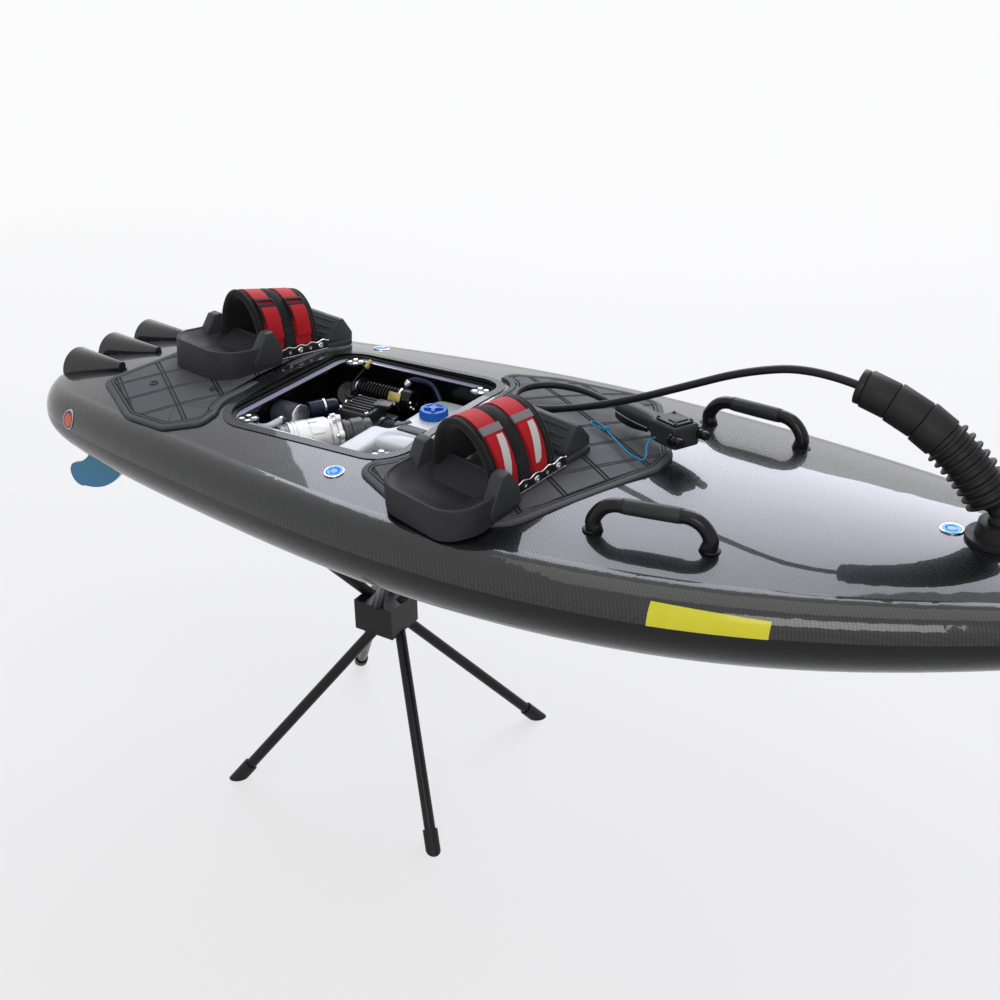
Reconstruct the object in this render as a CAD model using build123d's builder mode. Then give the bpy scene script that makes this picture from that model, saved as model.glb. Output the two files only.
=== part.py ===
from build123d import *
import os
from math import acos, cos, degrees, radians, sin, tan

# Jet surfboard with its engine bay open, resting on a four-legged work stand.
# Millimetres. X points to the nose from mid-length, Y to port, Z up from the floor.

# Board shell
board_length = 1800
board_width = 650
board_depth = 155
keel_height = 550
hull_wall = 4
end_wall = 8
seam = 0.3
fit = 0.3
overrun = 20

# Station columns: place along the board as a share of its length, half width as a share
# of half the board's width, then keel, gunwale, deck edge and crown as shares of its depth.
station_shares = [
    (-0.500, 0.46, 0.245, 0.500, 0.700, 0.765),
    (-0.478, 0.60, 0.175, 0.480, 0.730, 0.800),
    (-0.433, 0.70, 0.105, 0.480, 0.765, 0.870),
    (-0.250, 0.89, 0.020, 0.510, 0.815, 0.968),
    (-0.055, 1.00, 0.000, 0.530, 0.825, 1.000),
    (0.111, 0.945, 0.030, 0.550, 0.845, 1.010),
    (0.250, 0.77, 0.140, 0.620, 0.900, 1.045),
    (0.361, 0.54, 0.320, 0.730, 0.980, 1.085),
    (0.444, 0.32, 0.530, 0.850, 1.045, 1.120),
    (0.500, 0.10, 0.790, 0.950, 1.085, 1.120),
]

# Engine bay
bay_place = -328
bay_length = 356
bay_width = 360
bay_corner = 62
rim_proud = 1.5
rim_width = 14
rim_depth = 12
ledge_drop = 22
ledge_thickness = 4
ledge_width = 18
liner_wall = 4
liner_floor = 558.8
seal_width = 5
seal_height = 4
latch_radius = 17
latch_height = 2
latch_hole = 3
latch_centre_hole = 4
latch_inset_x = 50
latch_inset_y = 40

# Deck pads
pad_thickness = 5
pad_corner = 28
pad_bay_gap = 8
rear_pad_back = -775
rear_pad_front = -470
rear_pad_back_half = 152
rear_pad_front_half = 202
front_pad_back = -180
front_pad_wide = 45
front_pad_front = 196
front_pad_back_half = 218
front_pad_wide_half = 262
front_pad_front_half = 84

# Foot bindings, columns: name, heel-to-toe middle X and Y, turn from straight across.
binding_places = [("rear", -600, 78, -13), ("front", -6, -148, -13)]
binding_length = 312
heel_width = 168
heel_depth = 120
heel_height = 44
scoop_radius = 80
scoop_shift = 51
toe_width = 112
toe_depth = 52
toe_height = 46
foot_plate_width = 124
foot_plate_height = 9
arch_width = 116
arch_height = 92
arch_length = 112
arch_wall = 13
arch_shift = 22
strap_width = 34
strap_thickness = 3
strap_spacing = 50
rail_length = 128
rail_height = 22
rail_thickness = 4
rail_hole = 3.5
rail_hole_count = 5
buckle_length = 40
buckle_thickness = 5
foot_gap_below = 2

# Grab handles
handle_back = 171
handle_front = 325
handle_back_half = 190
handle_front_half = 166
handle_rise = 44
handle_tube_radius = 9
handle_foot_radius = 15
handle_foot_height = 6
handle_bend = 26

# Jet drive
shaft_height = 620
impeller_radius = 36
duct_gap = 5
duct_wall = 5
pump_back = -812
pump_front = -700
nozzle_back = -896
nozzle_bore = 28
nozzle_wall = 4
elbow_radius = 120
elbow_turn = 45
elbow_tail = 90
shaft_radius = 7
shaft_fit = 0.5
hub_radius = 13
blade_count = 4
blade_thickness = 3
blade_length = 34
blade_pitch = 38
impeller_place = -735
stator_count = 5
stator_thickness = 3
stator_length = 26
stator_hub_radius = 14
stator_place = -790
coupling_radius = 16
coupling_length = 26
coupling_place = -466
boss_radius = 20
grate_bar = 4
grate_count = 5
grate_spacing = 14
grate_length = 122
grate_middle = -592
grate_height = 5
bottom_opening_half = 36

# Fins
fin_place = -800
fin_spread = 150
fin_thickness = 7
fin_chord = 80
fin_height = 100
fin_sweep = 70
fin_base_height = 12
fin_base_width = 18

# Engine
engine_floor = 564
block_place = (-372, 36)
block_length = 84
block_width = 112
block_height = 92
housing_place = (-396, -62)
housing_turn = 52
housing_height = 628
housing_radius = 36
housing_length = 104
cap_radius = 33
cap_length = 14
pot_place = (-384, 132)
pot_height = 640
pot_radius = 20
pot_length = 112
rib_count = 9
rib_depth = 2
muffler_side = -34
muffler_height = 648
muffler_radius = 22
muffler_length = 50
muffler_neck = 9
hose_side = 40
hose_height = 622
hose_radius = 21
clamp_width = 8
clamp_depth = 3
tank_back = -292
tank_front = -172
tank_port = 152
tank_middle = 12
tank_starboard = -118
tank_arm_gap = 4
tank_arm_front = -284
tank_height = 84
tank_corner = 14
filler_place = (-256, 84)
filler_radius = 24
filler_height = 17
pipe_radius = 6
pipe_side = -96
pipe_reach = 26
pot_bracket = 30
box_place = (-216, -62)
box_length = 84
box_width = 88
box_height = 50

# Handle pole
hinge_place = 640
hinge_height = 741
pole_bend = 290
pole_heading = 120
ball_radius = 16
ball_fit = 0.5
cup_radius = 30
cup_foot_radius = 40
neck_radius = 10
neck_turn = 6
bellows_radius = 31
bellows_root_radius = 25
bellows_count = 8
ring_turn = 1.3
ring_step_turn = 2.4
sleeve_gap_turn = 0.06
# Sleeve columns: turn along the pole's bend, radius.
sleeve_table = [(6.5, 28), (8.2, 26), (7.2, 24.5), (1.8, 22.5)]

# Throttle cable and grip
cable_radius = 5.5
lanyard_radius = 1.5
grip_radius = 15
grip_length = 104
grip_head_length = 60
grip_head_width = 46
grip_head_height = 34
trigger_length = 70
trigger_width = 7
trigger_height = 12
knob_radius = 7
knob_length = 16
knot_radius = 5

# Deck fittings, columns: X, Y.
fitting_places = [(-222, -224), (-461, 226), (585, -2)]
fitting_radius = 15
fitting_proud = 1.6
fitting_depth = 9
disc_place = -772
disc_low = 642
disc_radius = 15
plate_back = 300
plate_front = 442
plate_low = 622
plate_high = 668
sticker_thickness = 0.8

# Stand
stand_place = -310
stand_hub_height = 300
stand_spread = 200
stand_tube_radius = 9.5
stand_tube_wall = 1.5
stand_offset = 18
stand_hub_size = 78
stand_hub_tall = 58
stand_hub_slot = 16
stand_hub_slot_depth = 20
stand_bolt_radius = 4
stand_bolt_head = 7
stand_bolt_head_height = 5
foot_cap_radius = 12.5
foot_cap_length = 34
arm_pad_radius = 14
arm_pad_length = 22
cap_floor = 4


def station_sizes(row):
    """Real sizes of one station: place, half width, keel, gunwale, deck edge, crown."""
    place, half, keel, gunwale, edge, crown = row
    heights = [keel_height + share * board_depth for share in (keel, gunwale, edge, crown)]
    return place * board_length, half * board_width / 2, *heights


def lower_form(inset, open_up=0.0):
    """Solid of the hull below the gunwale, drawn in by inset; open_up extends it upward."""
    with BuildPart() as form:
        for row in station_shares:
            place, half, keel, gunwale, edge, crown = station_sizes(row)
            half = half - inset
            keel = keel + inset
            top = gunwale - seam / 2
            bilge = top - keel
            with BuildSketch(Plane.YZ.offset(place)):
                with BuildLine():
                    Line((bilge - half, keel), (half - bilge, keel))
                    CenterArc((half - bilge, top), bilge, -90, 90)
                    if open_up:
                        Line((half, top), (half, top + open_up))
                        Line((-half, top + open_up), (-half, top))
                    Line((half, top + open_up), (-half, top + open_up))
                    CenterArc((bilge - half, top), bilge, 180, 90)
                make_face()
        loft()
    return form.part


def upper_form(inset, open_down=0.0):
    """Solid of the deck above the gunwale, drawn in by inset; open_down extends it downward."""
    with BuildPart() as form:
        for row in station_shares:
            place, half, keel, gunwale, edge, crown = station_sizes(row)
            half = half - inset
            base = gunwale + seam / 2
            edge = edge - inset
            crown = crown - inset
            shoulder = edge - base
            with BuildSketch(Plane.YZ.offset(place)):
                with BuildLine():
                    Line((-half, base - open_down), (half, base - open_down))
                    if open_down:
                        Line((half, base - open_down), (half, base))
                        Line((-half, base), (-half, base - open_down))
                    CenterArc((half - shoulder, base), shoulder, 0, 90)
                    ThreePointArc((half - shoulder, edge), (0, crown), (shoulder - half, edge))
                    CenterArc((shoulder - half, base), shoulder, 90, 90)
                make_face()
        loft()
    return form.part


def slab(back, front, half, low, high):
    """Plain box between two X places, symmetric in Y, between two heights."""
    with BuildPart(mode=Mode.PRIVATE) as block:
        with BuildSketch(Plane.XY.offset(low)):
            with Locations(((back + front) / 2, 0)):
                Rectangle(front - back, 2 * half)
        extrude(amount=high - low)
    return block.part


def bay_prism(growth, low, high):
    """Rounded prism on the bay's outline, grown by growth all round."""
    with BuildPart(mode=Mode.PRIVATE) as prism:
        with BuildSketch(Plane.XY.offset(low)):
            with Locations((bay_place, 0)):
                RectangleRounded(bay_length + 2 * growth, bay_width + 2 * growth, bay_corner + growth)
        extrude(amount=high - low)
    return prism.part


deck_top = keel_height + board_depth * 1.2
half_length = board_length / 2
cavity_span = slab(
    end_wall - half_length, half_length - 5 * end_wall, board_width, 0, deck_top + overrun
)
lower_outer = lower_form(0)
lower_tall = lower_form(0, board_depth)
upper_outer = upper_form(0)
lower_cavity = lower_form(hull_wall, overrun) & cavity_span
upper_cavity = upper_form(hull_wall, overrun) & cavity_span
upper_clear = Pos(0, 0, fit) * upper_outer
pad_clear = Pos(0, 0, pad_thickness + 2 * fit) * upper_outer
ledge_top = keel_height + board_depth - ledge_drop

# Jet duct sizes
duct_bore = impeller_radius + duct_gap
duct_radius = duct_bore + duct_wall
nozzle_radius = nozzle_bore + nozzle_wall
pump_plane = Plane((pump_back, 0, shaft_height), x_dir=(0, 1, 0), z_dir=(1, 0, 0))
elbow_centre = (pump_front, 0, shaft_height - elbow_radius)


def elbow_solid(radius):
    """Duct solid that leaves the pump forward and bends down through the hull's bottom."""
    with BuildPart(mode=Mode.PRIVATE) as elbow:
        with BuildSketch(Plane((pump_front, 0, shaft_height), x_dir=(0, 1, 0), z_dir=(1, 0, 0))):
            Circle(radius)
        revolve(axis=Axis(elbow_centre, (0, 1, 0)), revolution_arc=elbow_turn)
        end_face = elbow.faces().sort_by(Axis.X)[-1]
        extrude(to_extrude=end_face, amount=elbow_tail)
    return elbow.part


# Hull moulding below the gunwale, with the duct's opening in its bottom and its stern.
elbow_outer = elbow_solid(duct_radius)
elbow_inner = elbow_solid(duct_bore)
with BuildPart() as hull_bottom:
    add(lower_outer)
    add(lower_cavity, mode=Mode.SUBTRACT)
    add(elbow_solid(duct_radius + fit), mode=Mode.SUBTRACT)
    with BuildSketch(Plane.YZ.offset(-half_length - overrun)):
        with Locations((0, shaft_height)):
            Circle(nozzle_radius + fit)
    extrude(amount=overrun + 2 * end_wall, mode=Mode.SUBTRACT)
hull_bottom.part.label = "hull_bottom"

# Deck moulding with the bay's opening.
with BuildPart() as deck:
    add(upper_outer)
    add(upper_cavity, mode=Mode.SUBTRACT)
    add(bay_prism(0, keel_height, deck_top + overrun), mode=Mode.SUBTRACT)
    with BuildSketch(Plane.YZ.offset(-half_length - overrun)):
        with Locations((0, shaft_height)):
            Circle(nozzle_radius + fit)
    extrude(amount=overrun + 2 * end_wall, mode=Mode.SUBTRACT)
deck.part.label = "deck"

# Tail cowls: three tapered ridges, high at the stern and running out forward.
# Columns: Y, back X, front X.
cowl_table = [(-84, -896, -786), (0, -899, -784), (84, -896, -782)]
cowl_radius = 36
cowl_tip_radius = 8
cowl_sink_share = 0.25
with BuildPart() as tail_cowls:
    for offset_y, back, front in cowl_table:
        low = keel_height + board_depth * 0.78 - cowl_radius * cowl_sink_share
        with BuildSketch(Plane.YZ.offset(back)):
            with Locations((offset_y, low)):
                Circle(cowl_radius)
        with BuildSketch(Plane.YZ.offset(front)):
            with Locations((offset_y, keel_height + board_depth * 0.87)):
                Circle(cowl_tip_radius)
        loft()
    add(upper_clear, mode=Mode.SUBTRACT)
    add(slab(-half_length - overrun, overrun, board_width, 0, shaft_height + overrun), mode=Mode.SUBTRACT)
tail_cowls.part.label = "tail_cowls"

# Bay liner: rim that follows the deck, ledge with four latch ears, walls and floor.
latch_x = bay_length / 2 - latch_inset_x
latch_y = bay_width / 2 - latch_inset_y
latch_points = [(bay_place + i * latch_x, j * latch_y) for i in (-1, 1) for j in (-1, 1)]
with BuildPart() as bay_liner:
    add(bay_prism(-fit, ledge_top - ledge_thickness, deck_top))
    add(Pos(0, 0, rim_proud) * upper_outer, mode=Mode.INTERSECT)
    add(bay_prism(-rim_width, ledge_top, deck_top + overrun), mode=Mode.SUBTRACT)
    add(bay_prism(-rim_width, liner_floor, ledge_top))
    with BuildSketch(Plane.XY.offset(ledge_top)):
        with Locations((bay_place, 0)):
            RectangleRounded(
                bay_length - 2 * rim_width - 2 * ledge_width,
                bay_width - 2 * rim_width - 2 * ledge_width,
                bay_corner - rim_width - ledge_width + fit,
            )
        with Locations(*latch_points):
            Circle(latch_radius, mode=Mode.SUBTRACT)
    extrude(amount=-ledge_thickness * 2, mode=Mode.SUBTRACT)
    add(
        bay_prism(-rim_width - liner_wall, liner_floor + liner_wall, ledge_top - ledge_thickness),
        mode=Mode.SUBTRACT,
    )
bay_liner.part.label = "bay_liner"

liner_inner_back = bay_place - bay_length / 2 + rim_width + liner_wall
with BuildPart() as shaft_hole:
    with BuildSketch(Plane.YZ.offset(liner_inner_back - 2 * liner_wall)):
        with Locations((0, shaft_height)):
            Circle(shaft_radius + shaft_fit)
    extrude(amount=3 * liner_wall)
with BuildPart() as bay_liner_bored:
    add(bay_liner.part)
    add(shaft_hole.part, mode=Mode.SUBTRACT)
bay_liner_bored.part.label = "bay_liner"

# Seal bead round the ledge, just inside the rim.
with BuildPart() as bay_seal:
    add(bay_prism(-rim_width - 2 * fit, ledge_top + fit, ledge_top + fit + seal_height))
    add(
        bay_prism(-rim_width - 2 * fit - seal_width, ledge_top, ledge_top + overrun),
        mode=Mode.SUBTRACT,
    )
bay_seal.part.label = "bay_seal"

# Four latch plates on the ledge's ears.
with BuildPart() as latch_plates:
    for x, y in latch_points:
        with BuildSketch(Plane.XY.offset(ledge_top + fit)):
            with Locations((x, y)):
                Circle(latch_radius - fit)
                Circle(latch_centre_hole, mode=Mode.SUBTRACT)
                with PolarLocations((latch_radius + latch_centre_hole) / 2, 4, 45):
                    Circle(latch_hole, mode=Mode.SUBTRACT)
    extrude(amount=latch_height)
latch_plates.part.label = "latch_plates"


def station_mix(place, column):
    """A station size at any place along the board, straight between the stations."""
    rows = [station_sizes(row) for row in station_shares]
    for near, far in zip(rows, rows[1:]):
        if near[0] <= place <= far[0]:
            share = (place - near[0]) / (far[0] - near[0])
            return near[column] + share * (far[column] - near[column])
    return rows[-1][column]


def deck_height(place, side):
    """Height of the crowned deck at a place along the board and a distance off its middle."""
    half, gunwale, edge, crown = [station_mix(place, column) for column in (1, 3, 4, 5)]
    reach = half - (edge - gunwale)
    rise = crown - edge
    bend = (reach**2 + rise**2) / (2 * rise)
    return crown - bend + (bend**2 - side**2) ** 0.5


# Soft deck pads, as thick as pad_thickness all over, cut back from the bay.
pad_low = keel_height + board_depth * 0.6


def deck_pad(outline):
    """Pad on an outline of X and Y, following the deck."""
    with BuildPart() as pad:
        with BuildSketch(Plane.XY.offset(pad_low)) as face:
            with BuildLine():
                Polyline(*outline, close=True)
            make_face()
            fillet(face.vertices(), pad_corner)
        extrude(amount=deck_top - pad_low)
        add(Pos(0, 0, pad_thickness + fit) * upper_outer, mode=Mode.INTERSECT)
        add(upper_clear, mode=Mode.SUBTRACT)
        add(bay_prism(pad_bay_gap, pad_low, deck_top), mode=Mode.SUBTRACT)
    return pad.part


pad_rear = deck_pad(
    [
        (rear_pad_back, -rear_pad_back_half),
        (rear_pad_front, -rear_pad_front_half),
        (rear_pad_front, rear_pad_front_half),
        (rear_pad_back, rear_pad_back_half),
    ]
)
pad_rear.label = "pad_rear"
pad_front = deck_pad(
    [
        (front_pad_back, -front_pad_back_half),
        (front_pad_wide, -front_pad_wide_half),
        (front_pad_front, -front_pad_front_half),
        (front_pad_front, front_pad_front_half),
        (front_pad_wide, front_pad_wide_half),
        (front_pad_back, front_pad_back_half),
    ]
)
pad_front.label = "pad_front"

# Foot bindings. In each one's own plane X points across the foot to the nose side and
# Y from the heel to the toe.
half_foot = binding_length / 2
heel_middle = -half_foot + heel_depth / 2
toe_middle = half_foot - toe_depth / 2
binding_parts = {}
for name, place, side, turn in binding_places:
    floor = deck_height(place, abs(side)) + pad_thickness + fit
    heading = Rotation(0, 0, turn)
    ground = Plane((place, side, floor), x_dir=(cos(radians(turn)), sin(radians(turn)), 0))
    under = ground.offset(-overrun)
    across = Plane(
        ground.from_local_coords((0, arch_shift, foot_plate_height)),
        x_dir=ground.x_dir,
        z_dir=-ground.y_dir,
    )
    with BuildPart() as base:
        with BuildSketch(under):
            with Locations((0, heel_middle)):
                RectangleRounded(heel_width, heel_depth, heel_depth * 0.42)
        extrude(amount=overrun + heel_height, taper=4)
        with Locations(ground):
            with Locations((0, heel_middle + scoop_shift, foot_plate_height + scoop_radius)):
                Sphere(scoop_radius, mode=Mode.SUBTRACT)
        with BuildSketch(under):
            with Locations((0, (toe_middle + heel_middle) / 2)):
                Rectangle(foot_plate_width, toe_middle - heel_middle)
        extrude(amount=overrun + foot_plate_height)
        with BuildSketch(under):
            with Locations((0, toe_middle)):
                RectangleRounded(toe_width, toe_depth, toe_depth * 0.3)
        extrude(amount=overrun + toe_height, taper=6)
        add(pad_clear, mode=Mode.SUBTRACT)
    base.part.label = f"binding_base_{name}"
    with BuildPart() as arch:
        with BuildSketch(across.offset(-arch_length / 2)):
            Ellipse(arch_width / 2, arch_height)
            Ellipse(arch_width / 2 - arch_wall, arch_height - arch_wall, mode=Mode.SUBTRACT)
            with Locations((0, -arch_height)):
                Rectangle(2 * arch_width, 2 * arch_height + 2 * fit, mode=Mode.SUBTRACT)
        extrude(amount=arch_length)
    arch.part.label = f"binding_arch_{name}"
    with BuildPart() as straps:
        for step in (-1, 1):
            with BuildSketch(across.offset(step * strap_spacing / 2 - strap_width / 2)):
                Ellipse(arch_width / 2 + fit + strap_thickness, arch_height + fit + strap_thickness)
                Ellipse(arch_width / 2 + fit, arch_height + fit, mode=Mode.SUBTRACT)
                with Locations((0, -arch_height)):
                    Rectangle(2 * arch_width, 2 * arch_height + 2 * fit, mode=Mode.SUBTRACT)
            extrude(amount=strap_width)
    straps.part.label = f"binding_straps_{name}"
    with BuildPart() as buckles:
        for step in (-1, 1):
            tilt = radians(52)
            reach = arch_width / 2 + strap_thickness
            climb = arch_height + strap_thickness
            centre = across.from_local_coords(
                (reach * cos(tilt), climb * sin(tilt), step * strap_spacing / 2)
            )
            normal = across.x_dir * (cos(tilt) / reach) + across.y_dir * (sin(tilt) / climb)
            with BuildSketch(Plane(centre, x_dir=across.z_dir, z_dir=normal).offset(4 * fit)):
                RectangleRounded(strap_width + buckle_thickness, buckle_length * 0.7, buckle_thickness)
                Rectangle(strap_width - buckle_thickness, buckle_length * 0.3, mode=Mode.SUBTRACT)
            extrude(amount=buckle_thickness)
    buckles.part.label = f"binding_buckles_{name}"
    rail_plane = Plane(
        ground.from_local_coords((foot_plate_width / 2 + fit, arch_shift, 0)),
        x_dir=ground.y_dir,
        z_dir=ground.x_dir,
    )
    with BuildPart() as rail:
        with BuildSketch(rail_plane):
            with Locations((0, rail_height / 2 - foot_gap_below)):
                RectangleRounded(rail_length, rail_height + 2 * foot_gap_below, rail_thickness)
                with GridLocations(rail_length / rail_hole_count, 0, rail_hole_count, 1):
                    Circle(rail_hole, mode=Mode.SUBTRACT)
        extrude(amount=rail_thickness)
        add(pad_clear, mode=Mode.SUBTRACT)
    rail.part.label = f"binding_rail_{name}"
    for piece in (base, arch, straps, buckles, rail):
        binding_parts[piece.part.label] = piece.part

# Grab handles: a bent tube on two round feet, one each side.
handle_parts = {}
for name, hand in (("starboard", -1), ("port", 1)):
    back_floor = deck_height(handle_back, handle_back_half)
    front_floor = deck_height(handle_front, handle_front_half)
    back_foot = Vector(handle_back, hand * handle_back_half, back_floor)
    front_foot = Vector(handle_front, hand * handle_front_half, front_floor)
    with BuildPart() as handle:
        with BuildLine():
            FilletPolyline(
                back_foot - (0, 0, overrun),
                back_foot + (0, 0, handle_rise - handle_tube_radius),
                front_foot + (0, 0, handle_rise - handle_tube_radius),
                front_foot - (0, 0, overrun),
                radius=handle_bend,
            )
        with BuildSketch(Plane(back_foot - (0, 0, overrun))):
            Circle(handle_tube_radius)
        sweep()
        for foot in (back_foot, front_foot):
            with BuildSketch(Plane(foot - (0, 0, overrun))):
                Circle(handle_foot_radius)
            extrude(amount=overrun + handle_foot_height)
        add(upper_clear, mode=Mode.SUBTRACT)
    handle.part.label = f"handle_{name}"
    handle_parts[handle.part.label] = handle.part

# Jet drive: intake elbow, grate, pump with stator, nozzle, impeller, shaft and coupling.
with BuildPart() as intake_elbow:
    add(elbow_outer)
    add(elbow_inner, mode=Mode.SUBTRACT)
    add(lower_tall, mode=Mode.INTERSECT)
    with BuildSketch(Plane.YZ.offset(pump_front)):
        with Locations((0, shaft_height)):
            Circle(shaft_radius + shaft_fit)
    extrude(amount=elbow_radius + elbow_tail, mode=Mode.SUBTRACT)
intake_elbow.part.label = "intake_elbow"

with BuildPart() as intake_grate:
    with BuildSketch(Plane.XY.offset(keel_height - overrun)):
        with Locations((grate_middle, 0)):
            with GridLocations(0, grate_spacing, 1, grate_count):
                Rectangle(2 * grate_length, grate_bar)
            Rectangle(grate_bar, 2 * duct_bore)
    extrude(amount=3 * overrun)
    add(elbow_solid(duct_bore - fit), mode=Mode.INTERSECT)
    add(lower_tall, mode=Mode.INTERSECT)
    add(Pos(0, 0, grate_height) * lower_tall, mode=Mode.SUBTRACT)
intake_grate.part.label = "intake_grate"

with BuildPart() as pump_housing:
    with BuildSketch(pump_plane):
        Circle(duct_radius)
        Circle(duct_bore, mode=Mode.SUBTRACT)
    extrude(amount=pump_front - fit - pump_back)
    with BuildSketch(pump_plane.offset(stator_place - pump_back)):
        Circle(stator_hub_radius)
        with PolarLocations((stator_hub_radius + duct_bore) / 2, stator_count):
            Rectangle(duct_bore - stator_hub_radius + duct_wall, stator_thickness)
        Circle(shaft_radius + shaft_fit, mode=Mode.SUBTRACT)
    extrude(amount=stator_length)
pump_housing.part.label = "pump_housing"

with BuildPart() as nozzle:
    with BuildSketch(pump_plane.offset(-fit)):
        Circle(duct_radius)
    with BuildSketch(Plane.YZ.offset((pump_back + 2 * nozzle_back) / 3)):
        with Locations((0, shaft_height)):
            Circle(nozzle_radius)
    loft()
    with BuildSketch(Plane.YZ.offset(nozzle_back)):
        with Locations((0, shaft_height)):
            Circle(nozzle_radius)
    extrude(amount=(pump_back - nozzle_back) / 3)
    with BuildSketch(pump_plane.offset(-fit)):
        Circle(duct_bore)
    with BuildSketch(Plane.YZ.offset((pump_back + 2 * nozzle_back) / 3)):
        with Locations((0, shaft_height)):
            Circle(nozzle_bore)
    loft(mode=Mode.SUBTRACT)
    with BuildSketch(Plane.YZ.offset(nozzle_back)):
        with Locations((0, shaft_height)):
            Circle(nozzle_bore)
    extrude(amount=(pump_back - nozzle_back) / 3, mode=Mode.SUBTRACT)
nozzle.part.label = "nozzle"

impeller_plane = Plane((impeller_place, 0, shaft_height), x_dir=(0, 1, 0), z_dir=(1, 0, 0))
with BuildPart() as impeller:
    for step in range(blade_count):
        turn = radians(step * 360 / blade_count)
        with BuildSketch(Plane(impeller_plane.origin, x_dir=(1, 0, 0), z_dir=(0, cos(turn), sin(turn)))):
            Rectangle(blade_length, blade_thickness, rotation=blade_pitch)
        extrude(amount=2 * impeller_radius)
    with BuildSketch(impeller_plane.offset(-blade_length)):
        Circle(impeller_radius)
    extrude(amount=2 * blade_length, mode=Mode.INTERSECT)
    with BuildSketch(impeller_plane.offset(-blade_length / 2)):
        Circle(hub_radius)
    extrude(amount=blade_length)
    with BuildSketch(impeller_plane.offset(-blade_length)):
        Circle(shaft_radius + fit)
    extrude(amount=2 * blade_length, mode=Mode.SUBTRACT)
impeller.part.label = "impeller"

shaft_back = stator_place + stator_length / 2
coupling_back = coupling_place - coupling_length / 2
with BuildPart() as drive_shaft:
    with BuildSketch(Plane.YZ.offset(shaft_back)):
        with Locations((0, shaft_height)):
            Circle(shaft_radius)
    extrude(amount=coupling_place - shaft_back)
drive_shaft.part.label = "drive_shaft"

with BuildPart() as coupling:
    with BuildSketch(Plane.YZ.offset(coupling_back)):
        with Locations((0, shaft_height)):
            Circle(coupling_radius)
    extrude(amount=coupling_length)
    with BuildSketch(Plane.YZ.offset(coupling_back)):
        with Locations((0, shaft_height)):
            Circle(shaft_radius + fit)
    extrude(amount=coupling_length / 2 + fit, mode=Mode.SUBTRACT)
coupling.part.label = "coupling"

# Fins, one each side under the tail.
fin_parts = {}
for name, hand in (("starboard", -1), ("port", 1)):
    root_height = station_mix(fin_place, 2)
    fin_plane = Plane((fin_place, hand * fin_spread, root_height), x_dir=(1, 0, 0), z_dir=(0, 1, 0))
    with BuildPart() as fin:
        with BuildSketch(fin_plane.offset(-fin_thickness / 2)):
            with BuildLine():
                Line((-fin_chord * 0.1, -overrun), (fin_chord * 0.95, -overrun))
                ThreePointArc(
                    (fin_chord * 0.95, -overrun),
                    (fin_chord * 0.25, fin_height * 0.78),
                    (-fin_chord * 0.6, fin_height),
                )
                ThreePointArc(
                    (-fin_chord * 0.6, fin_height),
                    (-fin_chord * 1.0, fin_height * 0.84),
                    (-fin_chord * 0.8, fin_height * 0.58),
                )
                ThreePointArc(
                    (-fin_chord * 0.8, fin_height * 0.58),
                    (-fin_chord * 0.28, fin_height * 0.3),
                    (-fin_chord * 0.1, -overrun),
                )
            make_face()
        extrude(amount=fin_thickness)
        add(Pos(0, 0, -fit) * lower_outer, mode=Mode.SUBTRACT)
        add(slab(-half_length, 0, board_width, keel_height + 2 * overrun, deck_top), mode=Mode.SUBTRACT)
    fin.part.label = f"fin_{name}"
    fin_parts[fin.part.label] = fin.part

# Engine: crankcase block, generator with its cap, ribbed pot, muffler, hose, tank and box.
block_x, block_y = block_place
block_front = block_x + block_length / 2
block_port = block_y + block_width / 2
liner_deck = liner_floor + liner_wall
with BuildPart() as block_space:
    with BuildSketch(Plane.XY.offset(liner_deck)):
        with Locations(block_place):
            Rectangle(block_length + 2 * fit, block_width + 2 * fit)
    extrude(amount=block_height + overrun)

with BuildPart() as engine_block:
    with BuildSketch(Plane.XY.offset(liner_deck + fit)):
        with Locations(block_place):
            RectangleRounded(block_length, block_width, pipe_radius)
    extrude(amount=block_height)
    boss_back = coupling_place + coupling_length / 2 + duct_gap
    with BuildSketch(Plane.YZ.offset(boss_back)):
        with Locations((0, shaft_height)):
            Circle(boss_radius)
    extrude(amount=block_x - boss_back)
engine_block.part.label = "engine_block"

housing_x, housing_y = housing_place
housing_plane = Plane(
    (housing_x, housing_y, housing_height),
    x_dir=(0, 0, 1),
    z_dir=(cos(radians(housing_turn)), sin(radians(housing_turn)), 0),
)
with BuildPart() as generator_housing:
    with BuildSketch(housing_plane.offset(cap_length + fit - housing_length / 2)):
        Circle(housing_radius)
    extrude(amount=housing_length - cap_length - fit)
    add(block_space.part, mode=Mode.SUBTRACT)
generator_housing.part.label = "generator_housing"

with BuildPart() as generator_cap:
    with BuildSketch(housing_plane.offset(-housing_length / 2)):
        Circle(cap_radius)
    extrude(amount=cap_length)
generator_cap.part.label = "generator_cap"

pot_x, pot_y = pot_place
pot_back = pot_x - pot_length / 2
rib_pitch = pot_length / (2 * rib_count + 1)
with BuildPart() as ribbed_pot:
    with BuildSketch(Plane.YZ.offset(pot_back)):
        with Locations((pot_y, pot_height)):
            Circle(pot_radius - rib_depth)
    extrude(amount=pot_length)
    for step in range(rib_count):
        with BuildSketch(Plane.YZ.offset(pot_back + (2 * step + 1) * rib_pitch)):
            with Locations((pot_y, pot_height)):
                Circle(pot_radius)
        extrude(amount=rib_pitch)
    with BuildSketch(Plane.XZ.offset(-block_port - fit)):
        with Locations((pot_x, pot_height)):
            Rectangle(pot_bracket, pot_radius / 2)
    extrude(amount=block_port + fit - pot_y)
ribbed_pot.part.label = "ribbed_pot"

with BuildPart() as muffler:
    with BuildSketch(Plane.YZ.offset(liner_inner_back + fit)):
        with Locations((muffler_side, muffler_height)):
            Circle(muffler_radius)
    extrude(amount=muffler_length)
muffler.part.label = "muffler"

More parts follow.
